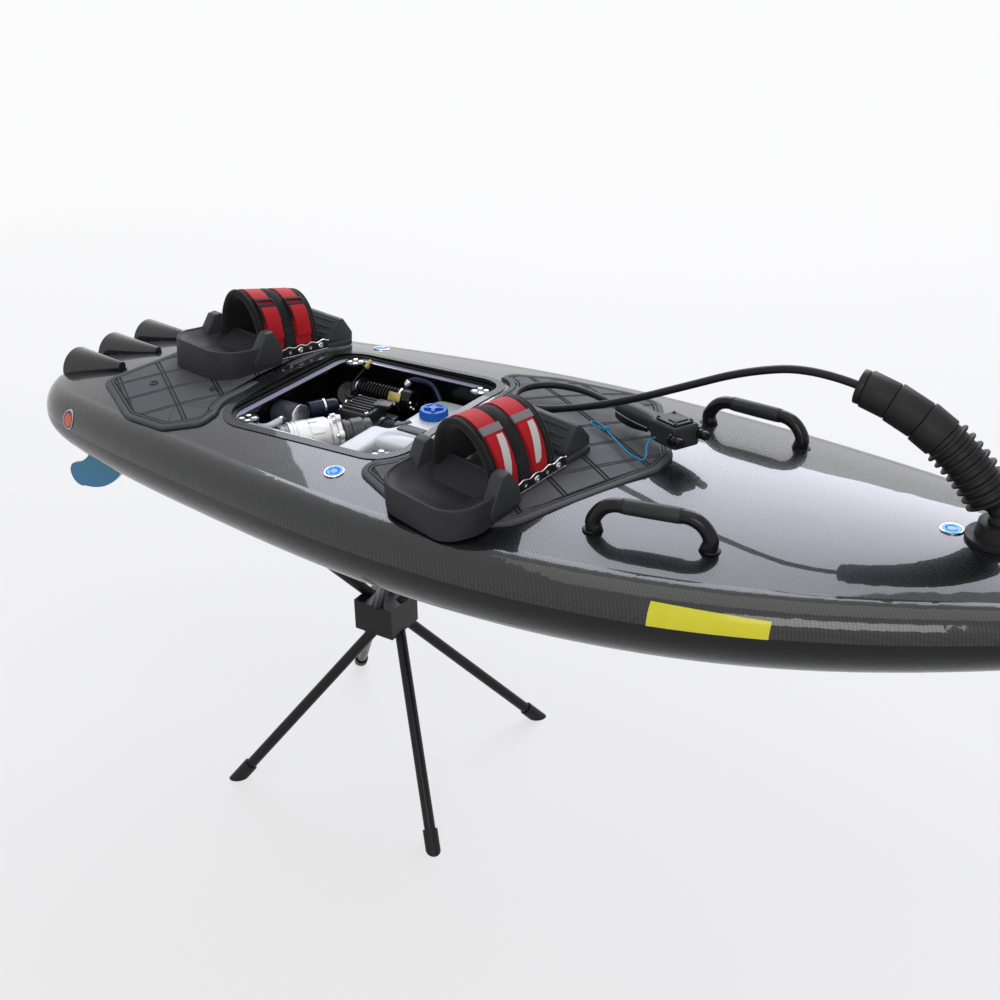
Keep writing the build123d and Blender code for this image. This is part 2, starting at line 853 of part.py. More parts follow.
muffler_back = liner_inner_back + fit
pipe_turn_x = muffler_back + pipe_reach
with BuildPart() as coolant_pipe:
    with BuildLine() as pipe_path:
        FilletPolyline(
            (muffler_back, pipe_side, muffler_height),
            (pipe_turn_x, pipe_side, muffler_height),
            (pipe_turn_x, muffler_side - muffler_radius - fit, muffler_height),
            radius=2 * pipe_radius,
        )
    with BuildSketch(Plane.YZ.offset(muffler_back)):
        with Locations((pipe_side, muffler_height)):
            Circle(pipe_radius)
    sweep()
coolant_pipe.part.label = "coolant_pipe"

arm_back = block_front + tank_arm_gap
with BuildPart() as fuel_tank:
    with BuildSketch(Plane.XY.offset(liner_deck + fit)) as tank_face:
        with BuildLine():
            Polyline(
                (arm_back, tank_starboard),
                (tank_arm_front, tank_starboard),
                (tank_arm_front, tank_middle - tank_corner),
                (tank_front, tank_middle - tank_corner),
                (tank_front, tank_port),
                (tank_back, tank_port),
                (tank_back, tank_middle),
                (arm_back, tank_middle),
                close=True,
            )
        make_face()
        fillet(tank_face.vertices(), pipe_radius)
    extrude(amount=tank_height)
    add(bay_prism(-rim_width - liner_wall - pad_bay_gap / 2, 0, deck_top), mode=Mode.INTERSECT)
fuel_tank.part.label = "fuel_tank"

tank_top = liner_deck + fit + tank_height
with BuildPart() as filler_cap:
    with BuildSketch(Plane.XY.offset(tank_top + fit)):
        with Locations(filler_place):
            Circle(filler_radius)
    extrude(amount=filler_height)
filler_cap.part.label = "filler_cap"

with BuildPart() as air_hose:
    hose_back = block_front + fit
    hose_length = tank_back - fit - hose_back
    with BuildSketch(Plane.YZ.offset(hose_back)):
        with Locations((hose_side, hose_height)):
            Circle(hose_radius)
    extrude(amount=hose_length)
    for place in (hose_back + clamp_width / 2, hose_back + hose_length - 3 * clamp_width / 2):
        with BuildSketch(Plane.YZ.offset(place)):
            with Locations((hose_side, hose_height)):
                Circle(hose_radius + clamp_depth)
        extrude(amount=clamp_width)
air_hose.part.label = "air_hose"

with BuildPart() as control_box:
    with BuildSketch(Plane.XY.offset(liner_deck + fit)):
        with Locations(box_place):
            RectangleRounded(box_length, box_width, pipe_radius)
    extrude(amount=box_height)
control_box.part.label = "control_box"

# Handle pole: a ball in a cup on the deck, bellows, then sleeves along one bend.
bend_x = hinge_place - pole_bend * sin(radians(pole_heading))
bend_z = hinge_height + pole_bend * cos(radians(pole_heading))
bend_axis = Axis((bend_x, 0, bend_z), (0, -1, 0))


def pole_frame(turn):
    """Plane across the pole's bend after a turn along it, its normal pointing to the tip."""
    heading = radians(pole_heading + turn)
    origin = (bend_x + pole_bend * sin(heading), 0, bend_z - pole_bend * cos(heading))
    return Plane(origin, x_dir=(0, 1, 0), z_dir=(cos(heading), 0, sin(heading)))


bellows_end = neck_turn + bellows_count * ring_step_turn
with BuildPart() as pole_base:
    base_floor = deck_height(hinge_place, 0)
    with BuildSketch(Plane.XY.offset(base_floor - overrun)):
        with Locations((hinge_place, 0)):
            Circle(cup_foot_radius)
    extrude(amount=overrun + seal_height)
    with BuildSketch(Plane.XY.offset(base_floor)):
        with Locations((hinge_place, 0)):
            Circle(cup_radius)
    extrude(amount=hinge_height - base_floor, taper=8)
    add(upper_clear, mode=Mode.SUBTRACT)
    with Locations((hinge_place, 0, hinge_height)):
        Sphere(ball_radius + ball_fit, mode=Mode.SUBTRACT)
pole_base.part.label = "pole_base"

with BuildPart() as pole_bellows:
    with Locations((hinge_place, 0, hinge_height)):
        Sphere(ball_radius)
    with BuildSketch(pole_frame(0)):
        Circle(neck_radius)
    revolve(axis=bend_axis, revolution_arc=neck_turn)
    with BuildSketch(pole_frame(neck_turn)):
        Circle(bellows_root_radius)
    revolve(axis=bend_axis, revolution_arc=bellows_end - neck_turn)
    for step in range(bellows_count):
        with BuildSketch(pole_frame(neck_turn + step * ring_step_turn)):
            Circle(bellows_radius)
        revolve(axis=bend_axis, revolution_arc=ring_turn)
pole_bellows.part.label = "pole_bellows"

sleeve_start = bellows_end
with BuildPart() as pole_sleeves:
    for turn, radius in sleeve_table:
        with BuildSketch(pole_frame(sleeve_start + sleeve_gap_turn)):
            Circle(radius)
        revolve(axis=bend_axis, revolution_arc=turn)
        sleeve_start += turn + sleeve_gap_turn
pole_sleeves.part.label = "pole_sleeves"
tip = pole_frame(sleeve_start)
print("pole tip", tip.origin, tip.z_dir)


def cord_tube(name, points, radius):
    """Round tube along straight runs joined by tangent arcs; prints the radii and length."""
    points = [Vector(*point) for point in points]
    radii = []
    for before, here, after in zip(points, points[1:], points[2:]):
        first, second = here - before, after - here
        turn = radians(first.get_angle(second))
        radii.append(0.45 * min(first.length, second.length) / tan(turn / 2))
    with BuildPart() as tube:
        with BuildLine() as path:
            FilletPolyline(*points, radius=radii)
        with BuildSketch(Plane(points[0], z_dir=points[1] - points[0])):
            Circle(radius)
        sweep()
    length = sum(edge.length for edge in path.edges())
    print(name, "radii", [round(value) for value in radii], "length", round(length))
    print(name, "volume share", round(tube.part.volume / (length * 3.14159265 * radius**2), 4))
    tube.part.label = name
    return tube.part


# Throttle cable: from the pole's tip, round behind the front binding, back to the grip.
cable_exit = tip.origin + tip.z_dir * 0.05
cable_points = [
    cable_exit,
    cable_exit + tip.z_dir * 62,
    (292, 9, 866),
    (205, 15, 823),
    (122, 19, 783),
    (38, 22, 751),
    (-35, 21, 733),
    (-86, 46, 727),
    (-103, 95, 725),
    (-74, 137, 725),
    (-18, 141, 727),
    (32, 117, 731),
    (68, 98, 734),
]
throttle_cable = cord_tube("throttle_cable", cable_points, cable_radius)

grip_end = Vector(*cable_points[-1])
grip_dir = (grip_end - Vector(*cable_points[-2])).normalized()
grip_plane = Plane(grip_end + grip_dir * 0.05, x_dir=(-grip_dir.Y, grip_dir.X, 0), z_dir=grip_dir)
with BuildPart() as throttle_grip:
    with BuildSketch(grip_plane):
        Circle(grip_radius * 0.7)
    with BuildSketch(grip_plane.offset(grip_length * 0.25)):
        Circle(grip_radius)
    with BuildSketch(grip_plane.offset(grip_length)):
        Circle(grip_radius * 0.9)
    loft()
    with BuildSketch(grip_plane.offset(grip_length - fit)):
        Rectangle(grip_head_width, grip_head_height)
    extrude(amount=grip_head_length)
throttle_grip.part.label = "throttle_grip"

with BuildPart() as throttle_knobs:
    with BuildSketch(grip_plane.offset(grip_length + grip_head_length)):
        with GridLocations(grip_head_width / 2, 0, 2, 1):
            Circle(knob_radius)
    extrude(amount=knob_length)
throttle_knobs.part.label = "throttle_knobs"

with BuildPart() as throttle_trigger:
    with BuildSketch(grip_plane.offset(grip_length - 2 * fit - trigger_length)):
        with Locations((-grip_radius - trigger_width, 0)):
            Rectangle(trigger_width, trigger_height)
    extrude(amount=trigger_length)
throttle_trigger.part.label = "throttle_trigger"

# Deck fittings, rail disc and blank rail plate.
with BuildPart() as deck_fittings:
    for x, y in fitting_places:
        surface = deck_height(x, abs(y))
        with BuildSketch(Plane.XY.offset(surface - fitting_depth)):
            with Locations((x, y)):
                Circle(fitting_radius)
        extrude(amount=2 * fitting_depth)
    add(Pos(0, 0, fitting_proud) * upper_outer, mode=Mode.INTERSECT)
    add(upper_clear, mode=Mode.SUBTRACT)
deck_fittings.part.label = "deck_fittings"

# Thin blank stickers on the starboard rail, shaped by the deck moulding.
sticker_low = upper_form(-fit)
sticker_high = upper_form(-fit - sticker_thickness)
with BuildPart() as rail_disc:
    with BuildSketch(Plane((disc_place, -board_width / 2, disc_low), x_dir=(1, 0, 0), z_dir=(0, 1, 0))):
        Circle(disc_radius)
    extrude(amount=board_width / 2)
    add(sticker_high, mode=Mode.INTERSECT)
    add(sticker_low, mode=Mode.SUBTRACT)
rail_disc.part.label = "rail_disc"

with BuildPart() as rail_plate:
    with BuildSketch(Plane.XZ.offset(board_width / 2)):
        with Locations(((plate_back + plate_front) / 2, (plate_low + plate_high) / 2)):
            Rectangle(plate_front - plate_back, plate_high - plate_low)
    extrude(amount=-board_width / 2)
    add(sticker_high, mode=Mode.INTERSECT)
    add(sticker_low, mode=Mode.SUBTRACT)
rail_plate.part.label = "rail_plate"

# Thin lanyard: from the grip's head, along the pad in two loops, back to the grip's end.
lanyard_exit = grip_plane.from_local_coords((-grip_head_width / 2 - 0.05, -8, grip_length + 18))
lanyard_points = [
    lanyard_exit,
    lanyard_exit - grip_plane.x_dir * 16,
    (176, -32, 720),
    (150, -22, 719),
    (124, -2, 719),
    (100, 20, 719),
    (78, 40, 719),
]
lanyard = cord_tube("lanyard", lanyard_points, lanyard_radius)

# Stand: four straight tubes crossing in a hub, pads under the hull, caps on the floor.
run = Vector(stand_spread, stand_spread, stand_hub_height)
leg_down = -run.length
leg_up = run.length * (keel_height - stand_hub_height) / stand_hub_height
legs = []
for step in range(4):
    lean = run.rotate(Axis.Z, 90 * step)
    side = Vector(lean.Y, -lean.X, 0).normalized() * stand_offset
    legs.append(Plane(Vector(stand_place, 0, stand_hub_height) + side, z_dir=lean.normalized()))

with BuildPart() as stand_hub:
    with BuildSketch(Plane.XY.offset(stand_hub_height - stand_hub_tall / 2)):
        with Locations((stand_place, 0)):
            Rectangle(stand_hub_size, stand_hub_size)
    extrude(amount=stand_hub_tall)
    for leg in legs:
        with BuildSketch(leg.offset(-stand_hub_size)):
            Circle(stand_tube_radius + fit)
        extrude(amount=2 * stand_hub_size, mode=Mode.SUBTRACT)
stand_hub.part.label = "stand_hub"

stand_tubes = {}
for step, leg in enumerate(legs, 1):
    with BuildPart() as tube:
        with BuildSketch(leg.offset(leg_down + foot_cap_length / 2)):
            Circle(stand_tube_radius)
            Circle(stand_tube_radius - stand_tube_wall, mode=Mode.SUBTRACT)
        extrude(amount=leg_up - arm_pad_length - leg_down - foot_cap_length / 2)
    tube.part.label = f"stand_tube_{step}"
    stand_tubes[tube.part.label] = tube.part

with BuildPart() as stand_feet:
    for leg in legs:
        with BuildSketch(leg.offset(leg_down - foot_cap_length / 2)):
            Circle(foot_cap_radius)
        extrude(amount=foot_cap_length * 1.5)
    for leg in legs:
        with BuildSketch(leg.offset(leg_down + foot_cap_length / 2 - fit)):
            Circle(stand_tube_radius + fit)
        extrude(amount=foot_cap_length, mode=Mode.SUBTRACT)
    add(slab(-board_length, board_length, board_width, -board_width, 0), mode=Mode.SUBTRACT)
stand_feet.part.label = "stand_feet"

with BuildPart() as stand_pads:
    for leg in legs:
        with BuildSketch(leg.offset(leg_up - arm_pad_length + fit)):
            Circle(arm_pad_radius)
        extrude(amount=arm_pad_length * 2)
    add(Pos(0, 0, -fit) * lower_tall, mode=Mode.SUBTRACT)
stand_pads.part.label = "stand_pads"

os.makedirs("parts", exist_ok=True)
single = [
    hull_bottom, deck, tail_cowls, bay_liner_bored, bay_seal, latch_plates, intake_elbow,
    intake_grate, pump_housing, nozzle, impeller, drive_shaft, coupling, engine_block,
    generator_housing, generator_cap, ribbed_pot, muffler, coolant_pipe, fuel_tank, filler_cap,
    air_hose, control_box, pole_base, pole_bellows, throttle_grip, throttle_knobs,
    throttle_trigger, deck_fittings, stand_hub, stand_feet, stand_pads, pole_sleeves,
    rail_disc, rail_plate,
]
pieces = [item.part for item in single] + [pad_rear, pad_front, throttle_cable, lanyard]
for group in (binding_parts, handle_parts, fin_parts, stand_tubes):
    pieces += group.values()
for piece in pieces:
    export_step(piece, f"parts/{piece.label}.step")
print(len(pieces), "pieces")
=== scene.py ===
from math import atan2, cos, pi, radians, sin

import bmesh
import bpy
from mathutils import Matrix, Vector
from mathutils.bvhtree import BVHTree


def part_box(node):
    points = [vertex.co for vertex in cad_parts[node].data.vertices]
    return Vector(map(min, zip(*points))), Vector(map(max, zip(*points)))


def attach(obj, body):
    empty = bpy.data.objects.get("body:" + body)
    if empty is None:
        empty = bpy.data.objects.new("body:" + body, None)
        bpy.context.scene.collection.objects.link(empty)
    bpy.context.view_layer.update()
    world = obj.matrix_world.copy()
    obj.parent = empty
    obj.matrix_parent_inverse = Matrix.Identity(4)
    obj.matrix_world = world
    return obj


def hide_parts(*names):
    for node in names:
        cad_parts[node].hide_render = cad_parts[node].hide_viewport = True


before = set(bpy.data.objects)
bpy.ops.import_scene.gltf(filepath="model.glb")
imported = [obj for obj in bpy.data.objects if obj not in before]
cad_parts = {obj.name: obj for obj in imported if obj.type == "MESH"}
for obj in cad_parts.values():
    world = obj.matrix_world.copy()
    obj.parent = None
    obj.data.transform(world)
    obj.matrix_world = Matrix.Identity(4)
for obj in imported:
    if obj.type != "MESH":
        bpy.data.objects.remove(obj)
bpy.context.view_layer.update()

# Jet surfboard on its stand. Shapes are built in millimetres and become metres when made.
MM = 0.001
deck_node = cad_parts["deck"]
deck_tree = BVHTree.FromObject(deck_node, bpy.context.evaluated_depsgraph_get())


def deck_z(x, y):
    """Height of the deck's top surface in millimetres."""
    hit = deck_tree.ray_cast(Vector((x * MM, y * MM, 2.0)), Vector((0, 0, -1)))[0]
    return hit.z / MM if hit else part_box("deck")[1].z / MM


def centre(node):
    """Middle of a CAD node's box in millimetres."""
    low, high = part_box(node)
    return (low + high) / 2 / MM


def linked(name, data):
    """New object in the scene."""
    made = bpy.data.objects.new(name, data)
    bpy.context.scene.collection.objects.link(made)
    return made


# Shader helpers
def feed(tree, socket, value):
    """Links a socket to another node's output, or gives it a value."""
    if isinstance(value, bpy.types.NodeSocket):
        tree.links.new(value, socket)
    elif isinstance(value, tuple) and len(value) == 3 and socket.type == "RGBA":
        socket.default_value = (*value, 1)
    else:
        socket.default_value = value


class Shader:
    """A material with a Principled shader and short calls for its nodes."""

    def __init__(self, name, colour, roughness, **sockets):
        self.material = bpy.data.materials.new(name)
        self.material.use_nodes = True
        self.tree = self.material.node_tree
        self.main = self.tree.nodes["Principled BSDF"]
        self.main.inputs["Base Color"].default_value = (*colour, 1)
        self.main.inputs["Roughness"].default_value = roughness
        self.main.inputs["Specular IOR Level"].default_value = 0.22
        self.set(**sockets)
        self.height = None

    def set(self, **sockets):
        """Feeds sockets of the Principled shader, named with _ for a space."""
        for name, value in sockets.items():
            feed(self.tree, self.main.inputs[name.replace("_", " ")], value)
        return self

    def node(self, kind, output=0, props=(), **inputs):
        """Adds a node; i0, i1 and so on feed its inputs by number, other words by name."""
        made = self.tree.nodes.new("ShaderNode" + kind)
        for name, value in dict(props).items():
            setattr(made, name, value)
        for name, value in inputs.items():
            label = int(name[1:]) if name[1:].isdigit() else name.replace("_", " ")
            feed(self.tree, made.inputs[label], value)
        return made.outputs[output]

    def math(self, operation, first, second=0.0):
        return self.node("Math", props={"operation": operation}, i0=first, i1=second)

    def place(self):
        """Object coordinates in metres."""
        return self.node("TexCoord", output=3)

    def axes(self):
        return tuple(self.node("SeparateXYZ", Vector=self.place()).node.outputs)

    def noise(self, scale, detail=3.0):
        return self.node("TexNoise", Vector=self.place(), Scale=scale, Detail=detail, Roughness=0.6)

    def ramp(self, value, low, high, low_to=0.0, high_to=1.0):
        return self.node("MapRange", i0=value, i1=low, i2=high, i3=low_to, i4=high_to)

    def mix(self, factor, first, second):
        return self.node("Mix", 2, {"data_type": "RGBA"}, i0=factor, i6=first, i7=second)

    def bump(self, height, depth):
        """Adds relief: height runs from 0 to 1 and depth is its size in millimetres."""
        under = {"Normal": self.height} if self.height else {}
        self.height = self.node("Bump", Strength=1.0, Distance=depth * MM, Height=height, **under)
        return self.set(Normal=self.height)


def speckled(name, colour, other, roughness, spread, scale, depth=0.0, **sockets):
    """Plain finish whose colour, roughness and relief vary a little, as moulded or cast parts do."""
    shader = Shader(name, colour, roughness, **sockets)
    broad = shader.noise(scale / 30, 2.0)
    shader.set(Base_Color=shader.mix(broad, colour, other))
    shader.set(Roughness=shader.ramp(broad, 0.3, 0.7, roughness - spread, roughness + spread))
    if depth:
        shader.bump(shader.noise(scale), depth)
    return shader


# Twill tones, a painted sheen of the weave: the strands across, then the strands along, each at its edge and
# with a painted highlight on its crown
TWILL_SHEEN_TONES = [((0.004, 0.004, 0.005), (0.012, 0.013, 0.016)), ((0.03, 0.032, 0.038), (0.1, 0.105, 0.12))]


def twill(name, across, along, tow=1.5, painted_sheen=1.0, coat=0.5, index=1.38):
    """Clear-coated carbon in a two-by-two twill whose weave is painted as sheen and highlight, scaled by one
    factor; across and along pick the weave's axes.
    """
    shader = Shader(name, (0.01, 0.01, 0.012), 0.3, Coat_Weight=coat, Coat_Roughness=0.03, Coat_IOR=index)
    parts = shader.axes()
    u = shader.math("DIVIDE", parts[across], tow * MM)
    v = shader.math("DIVIDE", parts[along], tow * MM)
    cell = shader.math("ADD", shader.math("FLOOR", u), shader.math("FLOOR", v))
    over = shader.math("LESS_THAN", shader.math("FLOORED_MODULO", cell, 4.0), 2.0)
    round_u = shader.math("SINE", shader.math("MULTIPLY", shader.math("FRACT", u), pi))
    round_v = shader.math("SINE", shader.math("MULTIPLY", shader.math("FRACT", v), pi))
    # Painted highlight on each strand's crown, and painted sheen that makes one direction of strands lighter
    # than the other
    crown = shader.node("Mix", i0=over, i2=round_u, i3=round_v)
    dark, light = [shader.mix(crown, *(tuple(channel * painted_sheen for channel in tone) for tone in pair))
                   for pair in TWILL_SHEEN_TONES]
    shader.set(Base_Color=shader.mix(over, dark, light), Metallic=0.3, Specular_IOR_Level=0.2)
    shader.set(Roughness=shader.ramp(over, 0.0, 1.0, 0.42, 0.26))
    return shader


# Shape helpers
class Shape:
    """Points in millimetres and faces, gathered before they become one mesh."""

    def __init__(self):
        self.points, self.faces = [], []

    def add(self, points, faces, place=Matrix()):
        start = len(self.points)
        self.points += [place @ Vector(point) for point in points]
        self.faces += [[start + index for index in face] for face in faces]
        return self

    def rings(self, rings, place=Matrix(), caps=(True, True)):
        """Skin over rings of equal count; caps close the first and the last."""
        count = len(rings[0])
        points = [point for ring in rings for point in ring]
        faces = []
        for row in range(len(rings) - 1):
            for step in range(count):
                a, b = row * count + step, row * count + (step + 1) % count
                faces.append([a, b, b + count, a + count])
        if caps[0]:
            faces.append(list(range(count))[::-1])
        if caps[1]:
            faces.append([len(points) - count + step for step in range(count)])
        return self.add(points, faces, place)

    def lathe(self, profile, place=Matrix(), steps=40):
        """Turned form about local Z from (radius, height) pairs."""
        rings = [[(x, y, height) for x, y in circle(max(radius, 0.01), steps)] for radius, height in profile]
        return self.rings(rings, place)

    def moulding(self, outline, profile, place=Matrix(), caps=(True, True)):
        """Upright form on a closed outline; profile holds (inset, height) pairs from the bottom up."""
        rings = [[(x, y, height) for x, y in inset_outline(outline, inset)] for inset, height in profile]
        return self.rings(rings, place, caps)

    def block(self, size, place=Matrix(), edge=1.0, corner=2.0):
        """Box of size centred in X and Y that stands on local Z 0, with soft edges."""
        x, y, z = size
        edge = min(edge, z / 2.1)
        return self.moulding(rectangle(x, y, corner), soft_edges(edge, z), place)

    def flat(self, outline, thickness, edge, place):
        """Flat piece with soft edges on an outline that may run either way round."""
        area = sum(a[0] * b[1] - b[0] * a[1] for a, b in zip(outline, outline[1:] + outline[:1]))
        return self.moulding(outline if area > 0 else outline[::-1], soft_edges(edge, thickness), place)

    def tube(self, path, radius, steps=12, place=Matrix(), caps=(True, True)):
        """Round tube along a list of points; radius is one number or one for each point."""
        path = [Vector(point) for point in path]
        side = None
        rings = []
        for index, point in enumerate(path):
            ahead = path[min(index + 1, len(path) - 1)] - path[max(index - 1, 0)]
            ahead.normalize()
            if side is None:
                side = ahead.orthogonal().normalized()
            side = (side - ahead * side.dot(ahead)).normalized()
            other = ahead.cross(side)
            size = radius[index] if isinstance(radius, (list, tuple)) else radius
            rings.append([point + (side * cos(2 * pi * s / steps) + other * sin(2 * pi * s / steps)) * size
                          for s in range(steps)])
        return self.rings(rings, place, caps)

    def lay(self):
        """Lifts every point by the deck's height under it."""
        self.points = [Vector((p.x, p.y, p.z + deck_z(p.x, p.y))) for p in self.points]
        return self

    def made(self, name, material, body="root", replaces=(), slot=None, angle=40, level=0):
        """Turns the gathered faces into an object on a body, shaded smooth up to an angle."""
        mesh = bpy.data.meshes.new(name)
        mesh.from_pydata([point * MM for point in self.points], [], self.faces)
        mesh.validate()
        worked = bmesh.new()
        worked.from_mesh(mesh)
        bmesh.ops.recalc_face_normals(worked, faces=worked.faces)
        worked.to_mesh(mesh)
        worked.free()
        made = linked(name, mesh)
        made.data.materials.append(material.material)
        if level:
            rounder = made.modifiers.new("Smooth", "SUBSURF")
            rounder.levels = rounder.render_levels = level
        mesh.shade_smooth()
        if angle < 180:
            mesh.set_sharp_from_angle(angle=radians(angle))
        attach(made, body)
        if replaces:
            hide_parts(*replaces)
        return made


def at(x=0.0, y=0.0, z=0.0, turn=0.0):
    """Placement in millimetres, turned about Z by degrees."""
    return Matrix.Translation((x, y, z)) @ Matrix.Rotation(radians(turn), 4, "Z")


def facing(origin, ahead, side=(0, 0, 1)):
    """Placement whose local Z looks along ahead and local X leans to side."""
    z = Vector(ahead).normalized()
    x = Vector(side)
    x = (x - z * x.dot(z)).normalized()
    y = z.cross(x)
    return Matrix.Translation(origin) @ Matrix((x, y, z)).transposed().to_4x4()


def rounded(corners, steps=7):
    """Closed outline with arcs at its corners; each corner is (x, y, radius)."""
    outline = []
    for index, (x, y, radius) in enumerate(corners):
        here = Vector((x, y))
        before = (Vector(corners[index - 1][:2]) - here).normalized()
        after = (Vector(corners[(index + 1) % len(corners)][:2]) - here).normalized()
        half = before.angle(after) / 2
        middle = here + (before + after).normalized() * radius / sin(half)
        start = here + before * radius / (sin(half) / cos(half)) - middle
        finish = here + after * radius / (sin(half) / cos(half)) - middle
        sweep = atan2(start.x * finish.y - start.y * finish.x, start.dot(finish))
        for step in range(steps + 1):
            turn = sweep * step / steps
            outline.append((middle.x + start.x * cos(turn) - start.y * sin(turn),
                            middle.y + start.x * sin(turn) + start.y * cos(turn)))
    return outline


def rectangle(x, y, corner, steps=5):
    """Rounded rectangle about the origin, counter-clockwise."""
    corner = min(corner, x / 2.01, y / 2.01)
    return rounded([(-x / 2, -y / 2, corner), (x / 2, -y / 2, corner),
                    (x / 2, y / 2, corner), (-x / 2, y / 2, corner)], steps)


def inset_outline(outline, amount):
    """Closed counter-clockwise outline moved inward by amount."""
    if not amount:
        return outline
    points = [Vector(point) for point in outline]
    moved = []
    for index, point in enumerate(points):
        back = point - points[index - 1]
        ahead = points[(index + 1) % len(points)] - point
        back = back.normalized() if back.length > 1e-6 else ahead.normalized()
        ahead = ahead.normalized() if ahead.length > 1e-6 else back
        normal = Vector((-back.y - ahead.y, back.x + ahead.x)).normalized()
        moved.append(tuple(point + normal * amount / max(0.4, normal.dot(Vector((-back.y, back.x))))))
    return moved


def soft_edges(edge, height):
    """Profile of (inset, height) pairs with a soft edge at the bottom and at the top."""
    part = edge * 0.3
    return [(edge, 0), (part, part), (0, edge), (0, height - edge), (part, height - part), (edge, height)]


def circle(radius, steps=32):
    """Points of a circle about the origin, counter-clockwise."""
    return [(radius * cos(2 * pi * s / steps), radius * sin(2 * pi * s / steps)) for s in range(steps)]


# Materials
# Lit and shaded copies of one carbon: the top's copy has more painted sheen as painted light, the side's
# less as painted shade, and the latch discs' copy the most
carbon_top_lit = twill("carbon_top_lit", 0, 1, painted_sheen=0.2, coat=1.0, index=1.48)
carbon_side_shaded = twill("carbon_side_shaded", 0, 2, painted_sheen=0.07)
carbon_rim = twill("carbon_rim", 0, 1, tow=1.8, painted_sheen=0.6)
# The gutter's pale lavender colour is a painted reflection of the sky
gutter_painted_sky = speckled("gutter_painted_sky", (0.33, 0.34, 0.46), (0.4, 0.41, 0.54), 0.2, 0.04, 400,
                        Coat_Weight=0.6, Coat_Roughness=0.05)
pad_foam = speckled("pad_foam", (0.075, 0.077, 0.084), (0.1, 0.102, 0.11), 0.62, 0.06, 1500, 0.12)
binding_foam = speckled("binding_foam", (0.024, 0.024, 0.028), (0.034, 0.034, 0.039), 0.5, 0.05, 1800, 0.08)
neoprene = speckled("neoprene", (0.006, 0.006, 0.007), (0.011, 0.011, 0.012), 0.8, 0.05, 2600, 0.1,
                    Sheen_Weight=0.12, Sheen_Roughness=0.5)
black_plastic = speckled("black_plastic", (0.012, 0.012, 0.014), (0.02, 0.02, 0.022), 0.36, 0.06,
                         1400, 0.05)
grip_plastic = speckled("grip_plastic", (0.03, 0.031, 0.034), (0.048, 0.05, 0.054), 0.42, 0.06, 1400, 0.05)
black_rubber = speckled("black_rubber", (0.012, 0.012, 0.013), (0.02, 0.02, 0.021), 0.48, 0.08, 900, 0.08)
binding_grey = speckled("binding_grey", (0.042, 0.043, 0.048), (0.06, 0.062, 0.068), 0.46, 0.05, 1700, 0.08)
slider_grey = speckled("slider_grey", (0.2, 0.185, 0.195), (0.28, 0.26, 0.27), 0.4, 0.05, 900, 0.05)
handle_gloss = speckled("handle_gloss", (0.009, 0.009, 0.01), (0.014, 0.014, 0.016), 0.2, 0.05, 300, 0.02)
handle_grip = speckled("handle_grip", (0.024, 0.025, 0.029), (0.036, 0.037, 0.042), 0.36, 0.05, 1600, 0.05)
cast_alloy = speckled("cast_alloy", (0.6, 0.61, 0.62), (0.74, 0.74, 0.74), 0.42, 0.08,
                      700, 0.12, Metallic=0.75)
bright_alloy = speckled("bright_alloy", (0.72, 0.73, 0.76), (0.8, 0.8, 0.82), 0.24, 0.06,
                        500, 0.02, Metallic=1.0)
dark_alloy = speckled("dark_alloy", (0.05, 0.05, 0.055), (0.09, 0.09, 0.095), 0.4, 0.08,
                      600, 0.08, Metallic=0.7)
black_paint = speckled("black_paint", (0.01, 0.01, 0.011), (0.016, 0.016, 0.017), 0.3, 0.06, 800, 0.04)
black_gloss = speckled("black_gloss", (0.006, 0.006, 0.007), (0.01, 0.01, 0.011), 0.12, 0.03, 300)
white_plastic = speckled("white_plastic", (0.76, 0.8, 0.83), (0.82, 0.85, 0.87), 0.3, 0.05, 300, 0.03,
                         Subsurface_Weight=0.1)
blue_plastic = speckled("blue_plastic", (0.015, 0.12, 0.55), (0.02, 0.16, 0.65), 0.28, 0.05, 300, 0.02)
blue_anodised = speckled("blue_anodised", (0.03, 0.16, 0.6), (0.05, 0.22, 0.7), 0.22, 0.05,
                         300, Metallic=0.8)
navy_gloss = speckled("navy_gloss", (0.012, 0.018, 0.045), (0.018, 0.026, 0.06), 0.14, 0.03, 300)
muffler_grey = speckled("muffler_grey", (0.05, 0.056, 0.075), (0.075, 0.082, 0.105), 0.2, 0.05, 300, 0.02)
cap_grey = speckled("cap_grey", (0.26, 0.25, 0.25), (0.36, 0.35, 0.35), 0.38, 0.06, 700, 0.06, Metallic=0.5)
gold_label = speckled("gold_label", (0.62, 0.5, 0.12), (0.7, 0.6, 0.25), 0.35, 0.08,
                      300, 0.02, Metallic=0.3)
sticker_white = speckled("sticker_white", (0.7, 0.7, 0.68), (0.78, 0.78, 0.76), 0.4, 0.05, 200)


def webbing(name, colour, scale=1.0):
    """Woven strap with fine ribs across it."""
    shader = Shader(name, colour, 0.62, Sheen_Weight=0.15, Sheen_Roughness=0.4)
    parts = shader.axes()
    slant = shader.math("ADD", parts[0], shader.math("ADD", parts[1], parts[2]))
    ribs = shader.math("SINE", shader.math("MULTIPLY", slant, 2 * pi / (1.6 * MM * scale)))
    cross = shader.math("SINE", shader.math("MULTIPLY", shader.math("SUBTRACT", parts[0], parts[1]),
                                            2 * pi / (1.3 * MM * scale)))
    weave = shader.ramp(shader.math("ADD", ribs, cross), -2.0, 2.0)
    dark = tuple(channel * 0.72 for channel in colour)
    shader.set(Base_Color=shader.mix(weave, dark, colour))
    return shader.bump(weave, 0.12)


cable_rubber = speckled("cable_rubber", (0.009, 0.009, 0.01), (0.014, 0.014, 0.015), 0.4, 0.06, 1200, 0.05)
red_webbing = webbing("red_webbing", (0.62, 0.012, 0.02))
blue_cord = webbing("blue_cord", (0.01, 0.32, 0.62), 0.6)


